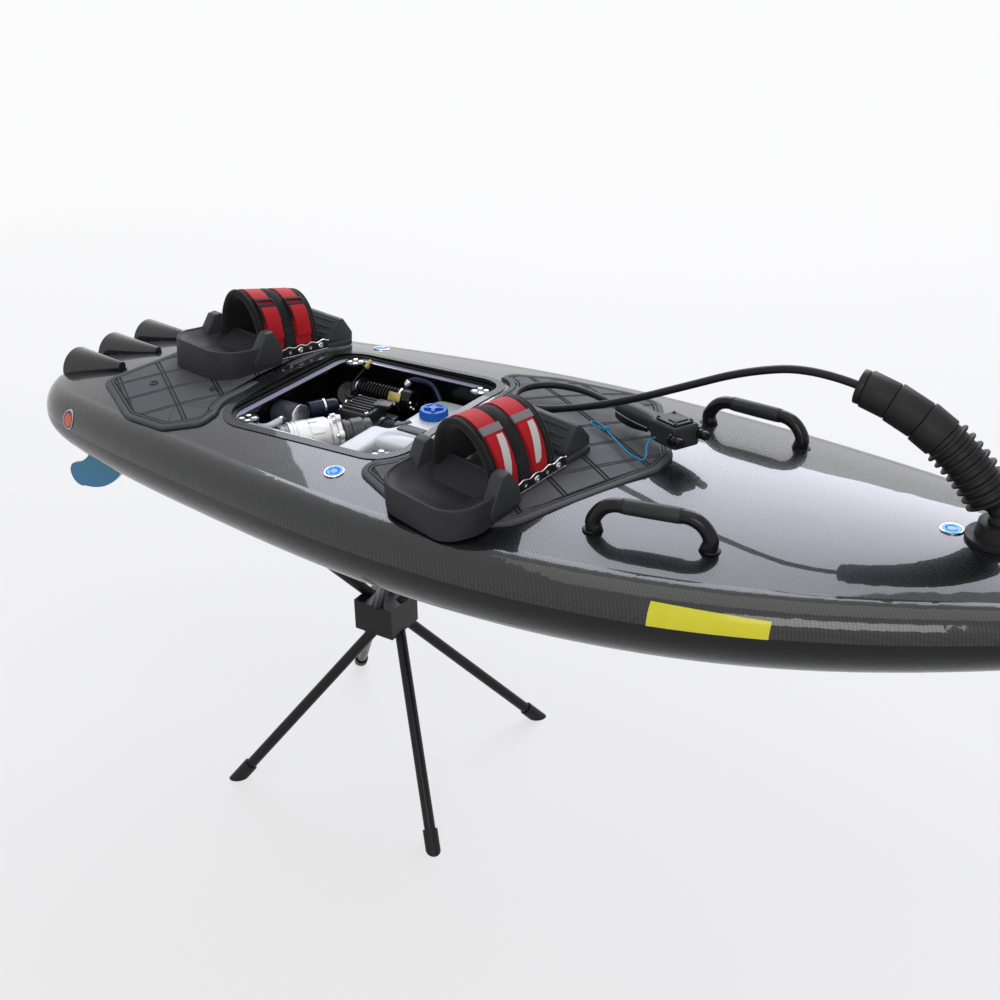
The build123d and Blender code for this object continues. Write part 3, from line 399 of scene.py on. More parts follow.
def fin_blue():
    """Teal to blue resin over a small honeycomb weave."""
    shader = Shader("fin_blue", (0.0, 0.25, 0.35), 0.18, Coat_Weight=0.5, Coat_Roughness=0.04)
    parts = shader.axes()
    low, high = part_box("fin_starboard")
    fade = shader.ramp(parts[2], low.z, high.z)
    cells = shader.node("TexVoronoi", props={"feature": "DISTANCE_TO_EDGE"}, Scale=190.0, Randomness=0.15,
                        Vector=shader.place())
    lines = shader.ramp(cells, 0.0, 0.12, 0.55, 1.0)
    tone = shader.mix(fade, (0.0, 0.17, 0.42), (0.0, 0.2, 0.22))
    shader.set(Base_Color=shader.mix(lines, (0.02, 0.34, 0.55), tone))
    return shader


def disc_sticker():
    """Orange-red disc with a dark and a pale ring, and nothing on it."""
    shader = Shader("disc_sticker", (0.8, 0.08, 0.03), 0.25, Coat_Weight=0.4)
    parts = shader.axes()
    middle = centre("rail_disc") * MM
    across = shader.math("SUBTRACT", parts[0], middle.x)
    up = shader.math("SUBTRACT", parts[2], middle.z)
    reach = shader.math("SQRT", shader.math("ADD", shader.math("MULTIPLY", across, across),
                                            shader.math("MULTIPLY", up, up)))
    low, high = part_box("rail_disc")
    share = shader.math("DIVIDE", reach, (high.x - low.x) / 2)
    dark = shader.mix(shader.math("GREATER_THAN", share, 0.66), (0.85, 0.1, 0.035), (0.02, 0.018, 0.02))
    shader.set(Base_Color=shader.mix(shader.math("GREATER_THAN", share, 0.88), dark, (0.7, 0.62, 0.6)))
    return shader


def plate_sticker():
    """Plain yellow film whose tone varies a little at random."""
    shader = Shader("plate_sticker", (0.85, 0.8, 0.03), 0.3, Coat_Weight=0.3)
    shader.set(Base_Color=shader.mix(shader.noise(40), (0.8, 0.74, 0.02), (0.88, 0.84, 0.05)))
    return shader


# Every CAD node first gets the finish of its kind
binding_kinds = [(binding_foam, "base"), (neoprene, "arch"), (red_webbing, "straps"),
                 (black_plastic, "buckles"), (bright_alloy, "rail")]
node_finishes = [
    (carbon_top_lit, "deck tail_cowls"),
    (carbon_side_shaded, "hull_bottom bay_liner"),
    (black_rubber, "bay_seal air_hose pole_base pole_bellows pole_sleeves throttle_cable"
                   " stand_feet stand_pads"),
    (bright_alloy, "latch_plates intake_grate nozzle impeller drive_shaft coupling"),
    (cast_alloy, "intake_elbow pump_housing generator_housing"),
    (dark_alloy, "engine_block generator_cap"),
    (black_gloss, "ribbed_pot muffler throttle_trigger"),
    (white_plastic, "coolant_pipe fuel_tank"),
    (blue_plastic, "filler_cap"),
    (black_plastic, "control_box throttle_grip throttle_knobs"),
    (pad_foam, "pad_rear pad_front"),
    (handle_gloss, "handle_starboard handle_port"),
    (fin_blue(), "fin_starboard fin_port"),
    (blue_anodised, "deck_fittings"),
    (disc_sticker(), "rail_disc"),
    (plate_sticker(), "rail_plate"),
    (blue_cord, "lanyard"),
    (black_paint, "stand_hub stand_tube_1 stand_tube_2 stand_tube_3 stand_tube_4"),
]
node_finishes += [(finish, f"binding_{kind}_rear binding_{kind}_front") for finish, kind in binding_kinds]
finishes = {name: finish for finish, names in node_finishes for name in names.split()}
for name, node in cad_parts.items():
    node.data.materials.clear()
    node.data.materials.append(finishes[name].material)

# Camera at the photograph's viewing angle
camera_place = Vector((0.797, -1.470, 1.480))
camera_pitch = 27.8
camera_heading = 30.8
focal_pixels = 1244.0
frame_pixels = 1000.0
camera_data = bpy.data.cameras.new("camera")
camera_data.sensor_width = 36.0
camera_data.lens = 36.0 * focal_pixels / frame_pixels
camera = linked("camera", camera_data)
camera.location = camera_place
camera.rotation_euler = (radians(90 - camera_pitch), 0, radians(camera_heading))
bpy.context.scene.camera = camera

# Cords: the route's points of the part's source, in metres
cable_points = [
    (0.443442, 0, 0.880816), (0.382553, 0, 0.892497), (0.292, 0.009, 0.866), (0.205, 0.015, 0.823),
    (0.122, 0.019, 0.783), (0.038, 0.022, 0.751), (-0.035, 0.021, 0.733), (-0.086, 0.046, 0.727),
    (-0.103, 0.095, 0.725), (-0.074, 0.137, 0.725), (-0.018, 0.141, 0.727), (0.032, 0.117, 0.731),
    (0.068, 0.098, 0.734),
]
lanyard_points = [
    (0.165408, 0.020527, 0.734992), (0.157940, 0.006377, 0.734992), (0.176, -0.032, 0.720),
    (0.150, -0.022, 0.719), (0.124, -0.002, 0.719), (0.100, 0.020, 0.719), (0.078, 0.040, 0.719),
]


def cord(name, points, radius, material):
    """Round cord on one smooth open spline."""
    curve = bpy.data.curves.new(name, "CURVE")
    curve.dimensions = "3D"
    spline = curve.splines.new("NURBS")
    spline.points.add(len(points) - 1)
    for point, place in zip(spline.points, points):
        point.co = (*place, 1)
    spline.order_u = 3
    spline.use_endpoint_u = True
    spline.resolution_u = 12
    curve.bevel_depth = radius
    curve.bevel_resolution = 5
    curve.use_fill_caps = True
    made = linked(name, curve)
    curve.materials.append(material.material)
    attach(made, "pole")
    return made


cable = cord("cable_line", cable_points, 0.0055, cable_rubber)
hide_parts("throttle_cable")
lanyard = cord("lanyard_line", lanyard_points, 0.0015, blue_cord)
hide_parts("lanyard")

# Grip on the cable's end, in a frame whose Z runs along it and whose X points to port
grip_end = Vector(cable_points[-1]) / MM
grip_dir = (grip_end - Vector(cable_points[-2]) / MM).normalized()
grip_frame = facing(grip_end, grip_dir, (-grip_dir.y, grip_dir.x, 0))


def sections(rows, place, steps=5):
    """Form through rounded rectangles: rows of along, width, height, corner, shift in X and in Y."""
    rings = []
    for along, width, height, corner, move_x, move_y in rows:
        outline = rectangle(width, height, corner, steps)
        rings.append([(x + move_x, y + move_y, along) for x, y in outline])
    return Shape().rings(rings, place)


def bolt(shape, place, radius=3.0, height=2.4):
    """Domed screw head with a socket, standing on the placement's XY plane."""
    return shape.lathe([(radius, 0), (radius, height * 0.6), (radius * 0.8, height), (radius * 0.42, height),
                        (radius * 0.38, height * 0.5), (0, height * 0.5)], place, 16)


ferrule = Shape().lathe([(5.6, -9), (6.6, -8), (6.6, -3), (7.4, -2), (7.4, 5), (5.8, 6)], grip_frame)
ferrule = ferrule.made("cable_ferrule", bright_alloy, "pole", slot="bright_alloy")
grip_body = sections([
    (3, 17, 17, 8, 0, 0), (8, 20, 20, 9, 0, 0), (24, 27, 28, 12, 0, 0), (44, 30, 31, 13, 0, 0),
    (66, 29, 30, 13, 0, 0), (86, 27, 28, 12, 0, 0), (102, 30, 30, 10, 0, 0), (108, 42, 32, 6, 0, 0),
    (112, 46, 34, 5, 0, 0), (160, 46, 34, 5, 0, 0), (163, 44, 32, 4, 0, 0), (164, 38, 28, 4, 0, 0),
], grip_frame)
grip_body.made("grip_body", grip_plastic, "pole", replaces=("throttle_grip",), slot="black_plastic", level=1,
               angle=180)
cap_plate = Shape()
cap_place = grip_frame @ facing((0, 17, 136), (0, 1, 0), (1, 0, 0))
cap_plate.block((36, 46, 3), cap_place, 1.2, 5)
cap_plate.block((24, 18, 2), cap_place @ at(0, -8, 3), 0.8, 3)
for x, y in ((-14, -19), (14, -19), (-14, 19), (14, 19)):
    bolt(cap_plate, cap_place @ at(x, y, 3), 2.4, 1.8)
cap_plate.made("grip_top_plate", black_plastic, "pole", slot="black_plastic")
knobs = Shape()
for x in (-23, 23):
    knobs.lathe([(5, -3), (7, -1), (7, 4), (5.2, 5), (5.2, 7), (6.8, 8), (6.8, 14), (5.6, 16), (0, 16)],
                grip_frame @ at(x, 0, 164), 24)
    knobs.lathe([(9, 0), (9, 3), (7, 3.6)], grip_frame @ at(x, 0, 158), 24)
knobs.made("grip_knobs", black_gloss, "pole", replaces=("throttle_knobs",), slot="black_plastic")
trigger_rings = []
for step in range(13):
    share = step / 12
    bow = -24.5 - 5.0 * sin(pi * share) - 3.0 * share
    wide = 5.5 + 6.5 * sin(pi * min(1, 0.25 + share * 0.7))
    trigger_rings.append([(bow + x * 0.55, y * wide / 12, 30 + 78 * share) for x, y in rectangle(7, 12, 3)])
trigger = Shape().rings(trigger_rings, grip_frame)
trigger.made("grip_trigger", black_gloss, "pole", replaces=("throttle_trigger",), slot="black_plastic")
knot_place = Vector(lanyard_points[-1]) / MM
knot = Shape()
wraps = []
for step in range(61):
    turn = 2 * pi * step / 60
    wraps.append(knot_place + Vector((sin(turn) + 2 * sin(2 * turn), cos(turn) - 2 * cos(2 * turn),
                                      -sin(3 * turn))) * 1.5 + Vector((0, 0, 1.2)))
knot.tube(wraps, 1.7, 8)
loop = [(-2, 1, 0), (-12, 12, -1), (-26, 21, -1.5), (-33, 18, -1.5), (-30, 11, -1.5), (-18, 5, -1),
        (-2, -1, 0)]
knot.tube([knot_place + Vector(point) for point in loop], 1.4, 8)
knot = knot.made("lanyard_knot", blue_cord, "pole", slot="blue_cord", angle=180)

# Deck pads: a double raised border round tiles, on a dark base that shows in the grooves
PAD_TOP = 5.3
PAD_GROOVE = 3.0
PAD_FIELD_INSET = 16.0
GROOVE_EDGE = 3.9
GROOVE_STRIP = 1.5
pad_border = [(0, 0.2), (0, 3.4), (0.7, 4.6), (2.0, PAD_TOP), (8.6, PAD_TOP), (9.2, 4.6), (9.6, PAD_GROOVE),
              (11.0, PAD_GROOVE), (11.3, 4.4), (11.9, PAD_TOP), (13.9, PAD_TOP), (14.5, 4.4),
              (14.8, PAD_GROOVE)]
# Groove families, columns: direction in degrees, spacing, offset of the first line.
groove_families = [(-36, 70, 16), (50, 66, 8)]


def numbered(field):
    """Faces of a bmesh as lists of its points' numbers."""
    field.verts.index_update()
    return [[vert.index for vert in face.verts] for face in field.faces]


def pad_piece(name, corners):
    """Moulded pad on an outline: its border, then tiles between two families of double grooves."""
    outline = rounded(corners, 9)
    shape = Shape().moulding(outline, pad_border, caps=(True, False))
    field = bmesh.new()
    field_outline = inset_outline(outline, PAD_FIELD_INSET)
    field.faces.new([field.verts.new((x, y, PAD_GROOVE)) for x, y in field_outline])
    strips = []
    for turn, spacing, first in groove_families:
        normal = Vector((-sin(radians(turn)), cos(radians(turn)), 0))
        for line in range(-12, 13):
            for edge in (-GROOVE_EDGE, -GROOVE_STRIP, GROOVE_STRIP, GROOVE_EDGE):
                geometry = field.verts[:] + field.edges[:] + field.faces[:]
                bmesh.ops.bisect_plane(field, geom=geometry, plane_no=normal,
                                       plane_co=normal * (first + line * spacing + edge))
        strips.append((normal, spacing, first))

    def in_channel(point):
        for normal, spacing, first in strips:
            gap = abs((point.dot(normal) - first + spacing / 2) % spacing - spacing / 2)
            if GROOVE_STRIP < gap < GROOVE_EDGE:
                return True
        return False

    bmesh.ops.triangulate(field, faces=[face for face in field.faces if len(face.verts) > 12])
    base = Shape().add([vert.co - Vector((0, 0, 0.2)) for vert in field.verts], numbered(field))
    bmesh.ops.join_triangles(field, faces=field.faces[:], angle_face_threshold=0.01,
                             angle_shape_threshold=3.1)
    gone = [face for face in field.faces if in_channel(face.calc_center_median()) or face.calc_area() < 8]
    bmesh.ops.delete(field, geom=gone, context="FACES")
    bmesh.ops.split_edges(field, edges=field.edges[:])
    bmesh.ops.inset_individual(field, faces=field.faces[:], thickness=0.3, depth=1.5)
    raised = [face for face in field.faces if min(vert.co.z for vert in face.verts) > PAD_GROOVE + 1]
    bmesh.ops.inset_individual(field, faces=raised, thickness=0.5, depth=0.6)
    bmesh.ops.recalc_face_normals(field, faces=field.faces)
    shape.add([vert.co for vert in field.verts], numbered(field))
    field.free()
    base.lay().made(f"{name}_base", black_rubber, slot="deck_pad")
    return shape.lay().made(f"{name}_moulded", pad_foam, replaces=(name,), slot="deck_pad", angle=28)


def mirrored(corners):
    """A closed outline from one side's corners, from its first to its last, and their mirror images."""
    return [(x, -y, r) for x, y, r in corners] + [(x, y, r) for x, y, r in reversed(corners) if y]


rear_corners = [(-728, 0, 200), (-775, 140, 26), (-640, 222, 60), (-556, 230, 26), (-500, 196, 24),
                (-500, 160, 18), (-514, 141, 68)]
front_corners = [(-142, 165, 70), (-186, 183, 18), (-186, 214, 24), (-112, 250, 60), (36, 256, 60),
                 (84, 230, 60), (192, 26, 26)]
pad_piece("pad_rear", mirrored(rear_corners))
pad_piece("pad_front", mirrored(front_corners))
recesses = Shape()
for x, y in ((-673, -122), (-558, -103), (67, 60), (67, -60), (-673, 122), (-558, 103)):
    recesses.lathe([(7.5, 4.6), (7.5, 5.9), (6.6, 6.2), (5.6, 5.8), (5.0, 5.0), (0, 4.9)], at(x, y), 24)
recesses.lay().made("pad_recesses", black_rubber, slot="deck_pad")

# Foot bindings, columns: name, X, Y, turn from straight across. Each has its own frame on the pad:
# X across the foot to the nose, Y from the heel to the toe
binding_places = [("rear", -600, 78, -13), ("front", -6, -148, -13)]
HALF_ARCH = 59.0
ARCH_BACK, ARCH_FRONT = -52.0, 68.0
ARCH_BACK_TOP, ARCH_FRONT_TOP = 113.0, 96.0
ARCH_BASE = 9.0
ARCH_STEPS = 56
# Arch section columns: Y, height off the arch's own surface, from the toe's inner edge round the outside.
arch_section = [
    (-44, -13), (-50, -11), (-53.5, -6), (-53.5, -1), (-51, 2.4), (-47.6, 2.6), (-45.4, 0.8), (-44.6, -0.6),
    (-43.6, 0.4), (-41.5, 0.6), (-38.5, -0.2), (-33, -0.4), (-23, -0.4), (-13, -0.4), (-7.5, -0.2),
    (-4, 1.6), (1, 2.4), (8, 2.6), (14, 1.8), (18, 0), (24, -0.4), (36, -0.4), (46, -0.4), (51, 0),
    (55, 1.6), (60.5, 1.8), (62.4, 0.2), (63.2, 1.2), (66, 1.4), (68.6, -1), (68.8, -6), (66, -11),
    (60, -13), (40, -13), (20, -13), (0, -13), (-20, -13),
]


def binding_frame(x, y, turn):
    """Placement on top of the pad, leaning with the deck."""
    lean = atan2(deck_z(x, y + 20) - deck_z(x, y - 20), 40)
    return (Matrix.Translation((x, y, deck_z(x, y) + PAD_TOP)) @ Matrix.Rotation(lean, 4, "X")
            @ Matrix.Rotation(radians(turn), 4, "Z"))


def arch_point(y, lift, angle):
    """Point of the arch over the foot; angle runs from 0 on the nose side over the top to 180."""
    share = (y - ARCH_BACK) / (ARCH_FRONT - ARCH_BACK)
    top = ARCH_BACK_TOP + (ARCH_FRONT_TOP - ARCH_BACK_TOP) * share - ARCH_BASE
    c, s = cos(angle), sin(angle)
    normal = Vector((c / HALF_ARCH, 0, s / top)).normalized()
    lean = 6.0 * s * s * (1 - share)
    return Vector((HALF_ARCH * c, y - lean, ARCH_BASE + top * s)) + normal * lift


def arch_strip(shape, place, rows):
    """Adds a strip over the arch; rows hold a turn in degrees and the (Y, lift) points of its section."""
    rings = [[arch_point(y, lift, radians(turn)) for y, lift in section] for turn, section in rows]
    return shape.rings(rings, place)


def oblong(back, front, low, high):
    """Section of a strip between two Y values and two lifts."""
    return [(back, low), (front, low), (front, high), (back, high)]


def heel_piece(end, place):
    """Dished heel block with a thin bevelled rim, open towards the arch."""
    outline = rounded([(-84, -150, 50), (84, -150, 50), (84, -28, 7), (-84, -28, 7)], 10)
    foot = place.inverted()

    def under(x, y):
        at_world = place @ Vector((x, y, 0))
        return (foot @ Vector((at_world.x, at_world.y, deck_z(at_world.x, at_world.y) + PAD_TOP - 0.4))).z

    def top(x, y, inset):
        sunk = [(0, 0), (7, 0.6), (12, 5), (20, 11), (32, 17), (46, 21), (60, 23)]
        dish = 0
        for (near, drop), (far, more) in zip(sunk, sunk[1:]):
            if near <= inset <= far:
                dish = drop + (more - drop) * (inset - near) / (far - near)
        height = 37 - dish
        front = 13 + 24 * min(1, abs(x) / 70) ** 4
        share = max(0, min(1, (y + 78) / 50))
        share = share * share * (3 - 2 * share)
        return height + (min(height, front) - height) * share

    rings = []
    rim = [(0, 0), (0.3, 0.5), (1.5, -3.2), (2.2, -1.0), (3.2, 0), (5.6, 0), (6.4, -1.2), (8, -1.6), (12, 0),
           (20, 0), (32, 0), (46, 0)]
    for inset, part in rim:
        ring = []
        for x, y in inset_outline(outline, inset):
            if inset < 1:
                low = under(x, y)
                ring.append((x, y, low + part * (top(x, y, 0) - low) * 0.6 if part else low))
            else:
                ring.append((x, y, top(x, y, inset) + part))
        rings.append(ring)
    shape = Shape().rings(rings, place)
    return shape.made(f"heel_block_{end}", binding_foam, replaces=(f"binding_base_{end}",),
                      slot="binding_foam", angle=50)


def frame_piece(end, place):
    """Grey frame under the arch: base plate, cheeks and the ridged toe."""
    parts = Shape()
    parts.block((126, 252, ARCH_BASE), place @ at(0, 16, -3), 1, 4)
    cheek = [(-86, 4), (-86, 16), (-60, 58), (-46, 60), (-29, 30), (-27, 4)]
    for hand in (-1, 1):
        side = facing((hand * 63 if hand > 0 else -85, 0, 0), (1, 0, 0), (0, 1, 0))
        outline = rounded([(x, y, 3) for x, y in cheek][::-1], 3)
        parts.flat(outline, 22, 2.4, place @ side)
    toe = [(92, 4, 3), (92, 14, 3), (118, 45, 4), (127, 45, 4), (147, 18, 4), (147, -4, 2)]
    parts.flat(rounded(toe[::-1], 3), 114, 3.2, place @ facing((-57, 0, 0), (1, 0, 0), (0, 1, 0)))
    for step in range(3):
        ridge = place @ at(0, 97.5 + step * 8.2, 19.4 + step * 9.6) @ Matrix.Rotation(0.86, 4, "X")
        parts.block((92, 4.2, 2.6), ridge, 0.8, 1.5)
    parts.made(f"binding_frame_{end}", binding_grey, slot="binding_foam", angle=35)


def arch_pieces(end, place):
    """Padded arch with its patch of slanted ribs."""
    turns = [180 * step / ARCH_STEPS for step in range(ARCH_STEPS + 1)]
    arch = arch_strip(Shape(), place, [(turn, arch_section) for turn in turns])
    arch = arch.made(f"arch_pad_{end}", neoprene, replaces=(f"binding_arch_{end}",), slot="neoprene",
                     level=1, angle=180)
    ribs = Shape()
    for step in range(5):
        y = -3.5 + step * 4.0
        for start in (3, 11, 19):
            rows = []
            for share in (0, 0.25, 0.5, 0.75, 1):
                middle = y + 3 * share
                rows.append((start + 7 * share, oblong(middle - 0.8, middle + 0.8, 1.6, 3.6)))
            arch_strip(ribs, place, rows)
    ribs.made(f"arch_hatching_{end}", grip_plastic, slot="neoprene")


# Strap tables. Front tab: turn, half width. Front mark: turn, back and front edge. Rear tab: turn, rise
front_tab = [(62, 15), (58, 15.4), (50, 15.4), (40, 15.2), (30, 14.8), (20, 14.2), (12, 13.4), (7, 12),
             (4.5, 9.5), (3.2, 6)]
front_mark = [(52, 2.0, 12.5), (45, 0.5, 12.5), (35, -2.5, 10.5), (25, -5.5, 7.5), (16, -7.5, 3.5),
              (13, -7.0, -1.0)]
rear_tab = [(50, 2.5), (44, 4), (36, 4.2), (28, 3.6), (20, 2.6), (16, 2.2)]


def strap_pieces(end, place):
    """Two straps over the arch with their tabs, sliders and, in front, pale marks."""
    bands, tabs, frames, marks = Shape(), Shape(), Shape(), Shape()
    for middle in (-23, 35):
        def ribbon(half, low, high):
            return oblong(middle - half, middle + half, low, high)
        arch_strip(bands, place, [(turn, ribbon(15.5, 0.2, 2.4)) for turn in range(0, 181, 5)])
        if end == "front":
            arch_strip(tabs, place, [(turn, ribbon(half, 2.6, 5.0)) for turn, half in front_tab])
            arch_strip(frames, place, [(turn, ribbon(17.5, 2.2, 6.0)) for turn in (64, 59.5, 55)])
            arch_strip(marks, place, [(turn, oblong(middle + back, middle + front, 4.6, 5.3))
                                      for turn, back, front in front_mark])
        else:
            for turn in (62, 54, 46, 38):
                arch_strip(frames, place, [(turn - back, ribbon(18, 3.2, 6.6)) for back in (0, 1.5, 3)])
            for side in (-1, 1):
                y = middle + side * 16.6
                bar = oblong(y - 1.6, y + 1.6, 3.0, 6.4)
                arch_strip(frames, place, [(turn, bar) for turn in range(35, 63, 3)])
            arch_strip(tabs, place, [(turn, ribbon(14.6, 2.8 + rise, 5.0 + rise))
                                     for turn, rise in rear_tab])
    bands.made(f"strap_bands_{end}", red_webbing, replaces=(f"binding_straps_{end}",), slot="red_webbing")
    tabs.made(f"strap_tabs_{end}", red_webbing, slot="red_webbing")
    frames.made(f"strap_sliders_{end}", slider_grey if end == "front" else black_plastic,
                replaces=(f"binding_buckles_{end}",), slot="black_plastic")
    if end == "front":
        marks.made("strap_marks_front", sticker_white, slot="red_webbing")


def rail_pieces(end, place):
    """Scalloped rail along the arch's nose side, with bright edges and bolts."""
    rail, edges, bolts = Shape(), Shape(), Shape()
    side = place @ facing((63.4, 22, 0), (1, 0, 0), (0, 1, 0))
    scallops = []
    for step in range(49):
        x = -62 + 124 * step / 48
        scallops.append((x, 18.5 + 1.6 * cos(2 * pi * x / 24.8)))
    outline = [(-62, 1), (62, 1)] + scallops[::-1]
    rail.flat(outline, 3.2, 0.6, side)
    edges.block((122, 1.8, 4.0), side @ at(0, 2.2, 0), 0.4, 0.8)
    for step in range(48):
        (x0, z0), (x1, z1) = scallops[step], scallops[step + 1]
        edges.tube([(x0, z0 - 0.4, 3.2), (x1, z1 - 0.4, 3.2)], 0.9, 6, side)
    for x in (-44, 0, 44):
        bolt(bolts, side @ at(x, 10.5, 3.2), 5.2, 2.6)
    for x in (-22, 22):
        bolts.lathe([(3.0, 0), (3.0, 0.7), (2.0, 0.8), (1.8, 0.1), (0, 0.1)], side @ at(x, 10, 3.2), 16)
    rail.made(f"rail_bar_{end}", black_plastic, replaces=(f"binding_rail_{end}",), slot="bright_alloy")
    edges.made(f"rail_edges_{end}", bright_alloy, slot="bright_alloy")
    bolts.made(f"rail_bolts_{end}", bright_alloy, slot="bright_alloy")


for end, x, y, turn in binding_places:
    place = binding_frame(x, y, turn)
    for piece in (heel_piece, frame_piece, arch_pieces, strap_pieces, rail_pieces):
        piece(end, place)


def bowed(corners, reaches, steps=8):
    """Path through corners, each rounded off over its reach."""
    corners = [Vector(corner) for corner in corners]
    path = [corners[0]]
    for before, corner, after, reach in zip(corners, corners[1:], corners[2:], reaches):
        a = corner + (before - corner).normalized() * reach
        b = corner + (after - corner).normalized() * reach
        for step in range(steps + 1):
            share = step / steps
            path.append(a.lerp(corner, share).lerp(corner.lerp(b, share), share))
    return path + [corners[-1]]


# Grab handles: glossy legs and a satin insert on the bar, one each side
HANDLE_BACK, HANDLE_FRONT = (176, 196), (333, 174)
HANDLE_RISE = 42
HANDLE_LEG = 14


def handle_pieces(end, hand):
    """Grab handle: its tube, the insert on the bar, and the seams and feet."""
    feet = [Vector((x, hand * y, deck_z(x, hand * y))) for x, y in (HANDLE_BACK, HANDLE_FRONT)]
    ahead = (feet[1] - feet[0]).normalized()
    up = Vector((0, 0, 1))
    corners = [feet[0] + ahead * 6 - up * 4, feet[0] + up * HANDLE_LEG,
               feet[0] + ahead * 16 + up * HANDLE_RISE, feet[1] - ahead * 16 + up * HANDLE_RISE,
               feet[1] + up * HANDLE_LEG, feet[1] - ahead * 6 - up * 4]
    path = bowed(corners, [8, 22, 22, 8])
    radii = [11.0 - 1.4 * sin(pi * index / (len(path) - 1)) for index in range(len(path))]
    tube = Shape().tube(path, radii, 24)
    tube.made(f"handle_tube_{end}", handle_gloss, replaces=(f"handle_{end}",), slot="black_plastic",
              angle=180)
    bar = corners[3] - corners[2]
    insert = Shape().tube([corners[2] + bar * t for t in (0.2, 0.205, 0.22, 0.5, 0.78, 0.795, 0.8)],
                          [9.4, 10.2, 10.7, 10.9, 10.7, 10.2, 9.4], 24)
    insert.made(f"handle_insert_{end}", handle_grip, slot="black_plastic", angle=60)
    seams = Shape()
    for t in (0.19, 0.81):
        seams.tube([corners[2] + bar * (t - 0.006), corners[2] + bar * (t + 0.006)], 10.3, 24)
    for foot in feet:
        seams.lathe([(12.4, 0.4), (12.4, 1.0), (11.4, 2.0)], at(foot.x, foot.y, foot.z))
    seams.made(f"handle_seams_{end}", black_rubber, slot="black_plastic")


for end, hand in (("starboard", -1), ("port", 1)):
    handle_pieces(end, hand)

# Engine bay: pieces stand where the solids that they replace stand
BAY_X = -328.0
BAY_SIZE = (356.0, 360.0, 62.0)
LEDGE_TOP = 683.0
BAY_FLOOR = 563.1
UP = (0, 0, 1)
ALONG = (1, 0, 0)
FLIP = Matrix.Rotation(pi, 4, "X")
LATCH_X, LATCH_Y = 128, 140
GENERATOR_TURN = radians(52)
bay_outline = [(x + BAY_X, y) for x, y in rectangle(*BAY_SIZE, 10)]


def band(outer, inner, low, high):
    """Band along the bay's rim between two insets."""
    profile = [(outer, low), (outer, high), (inner, high), (inner, low)]
    return Shape().moulding(bay_outline, profile, caps=(False, False))


# Gutter round the bay, its colour a painted reflection of the sky, and at each corner a disc with four studs
# and a star
band(20.2, 31.4, LEDGE_TOP + 0.1, LEDGE_TOP + 1.0).made("bay_gutter", gutter_painted_sky, slot="carbon_shell")
discs, studs, stars = Shape(), Shape(), Shape()
star = [((4.8, 2.2)[s % 2] * cos(pi * s / 5), (4.8, 2.2)[s % 2] * sin(pi * s / 5)) for s in range(10)]
for x in (BAY_X - LATCH_X, BAY_X + LATCH_X):
    for y in (-LATCH_Y, LATCH_Y):
        place = at(x, y, LEDGE_TOP + 0.3)
        discs.lathe([(17, 0), (17, 1.4), (16.2, 2.0), (0, 2.0)], place)
        for turn in range(35, 360, 90):
            studs.lathe([(4.5, 1.9), (4.5, 2.5), (3.6, 3.0), (0, 3.0)], place @ at(turn=turn) @ at(9.6), 20)
        stars.moulding(star, [(0, 1.9), (0, 2.4)], place)
discs.made("latch_discs", carbon_rim, replaces=("latch_plates",), slot="carbon_shell")
studs.made("latch_studs", bright_alloy, slot="bright_alloy")
stars.made("latch_stars", black_gloss, slot="black_plastic")

# Generator: turned cast housing with a bolted flange, its end cap and a bracket
generator = facing((-396, -62, 628), (cos(GENERATOR_TURN), sin(GENERATOR_TURN), 0))
housing_profile = [
    (31, -37.5), (35.2, -37.5), (36, -36.5), (36, -33.5), (34.6, -33), (34.6, -31), (36, -30.5), (36, -27),
    (35, -26.5), (35, -25), (36, -24.5), (36, -6), (35.2, -5.5), (35.2, -4), (36, -3.5), (36, 24), (34, 28),
    (31.5, 31), (31.5, 39), (36.5, 40), (36.5, 46), (30, 47), (22, 52), (0, 52),
]
housing = Shape().lathe(housing_profile, generator, 72)
housing.block((16, 5, 2), generator @ at(turn=8) @ facing((35.2, 0, 2), ALONG, UP), 0.6, 2)
housing.block((20, 5, 2), generator @ at(turn=46) @ facing((35.2, 0, 8), ALONG, UP), 0.6, 2)
housing.block((34, 13, 56), at(-350, -50, BAY_FLOOR + 6, 52), 3, 5)
bay_bolts = Shape()
for turn in (12, 62, 118, -50):
    lug = generator @ at(turn=turn) @ at(35.5, 0, 38)
    housing.lathe([(6.5, 0), (7.2, 1), (7.2, 8), (6.5, 9)], lug, 24)
    bolt(bay_bolts, lug @ FLIP, 4.2, 3.4)
housing.made("generator_casting", cast_alloy, replaces=("generator_housing",), slot="cast_alloy", angle=30)
cap_profile = [
    (0, -52), (8, -52), (9, -51.2), (24, -51.2), (25, -52), (30, -51.6), (32.4, -50), (33, -47.5), (33, -44),
    (32, -43.4), (32, -42), (33.4, -41.4), (33.6, -38),
]
cap = Shape().lathe(cap_profile, generator, 72)
cap.made("generator_end_cap", cap_grey, replaces=("generator_cap",), slot="dark_alloy", angle=30)
window = Shape().block((9, 8, 1.2), generator @ at(17, 6, -51.4) @ FLIP, 0.3, 1)
window.block((7, 22, 1.2), generator @ at(-14, 4, -51.4) @ FLIP, 0.3, 3)
window.made("generator_windows", black_gloss, slot="black_plastic")

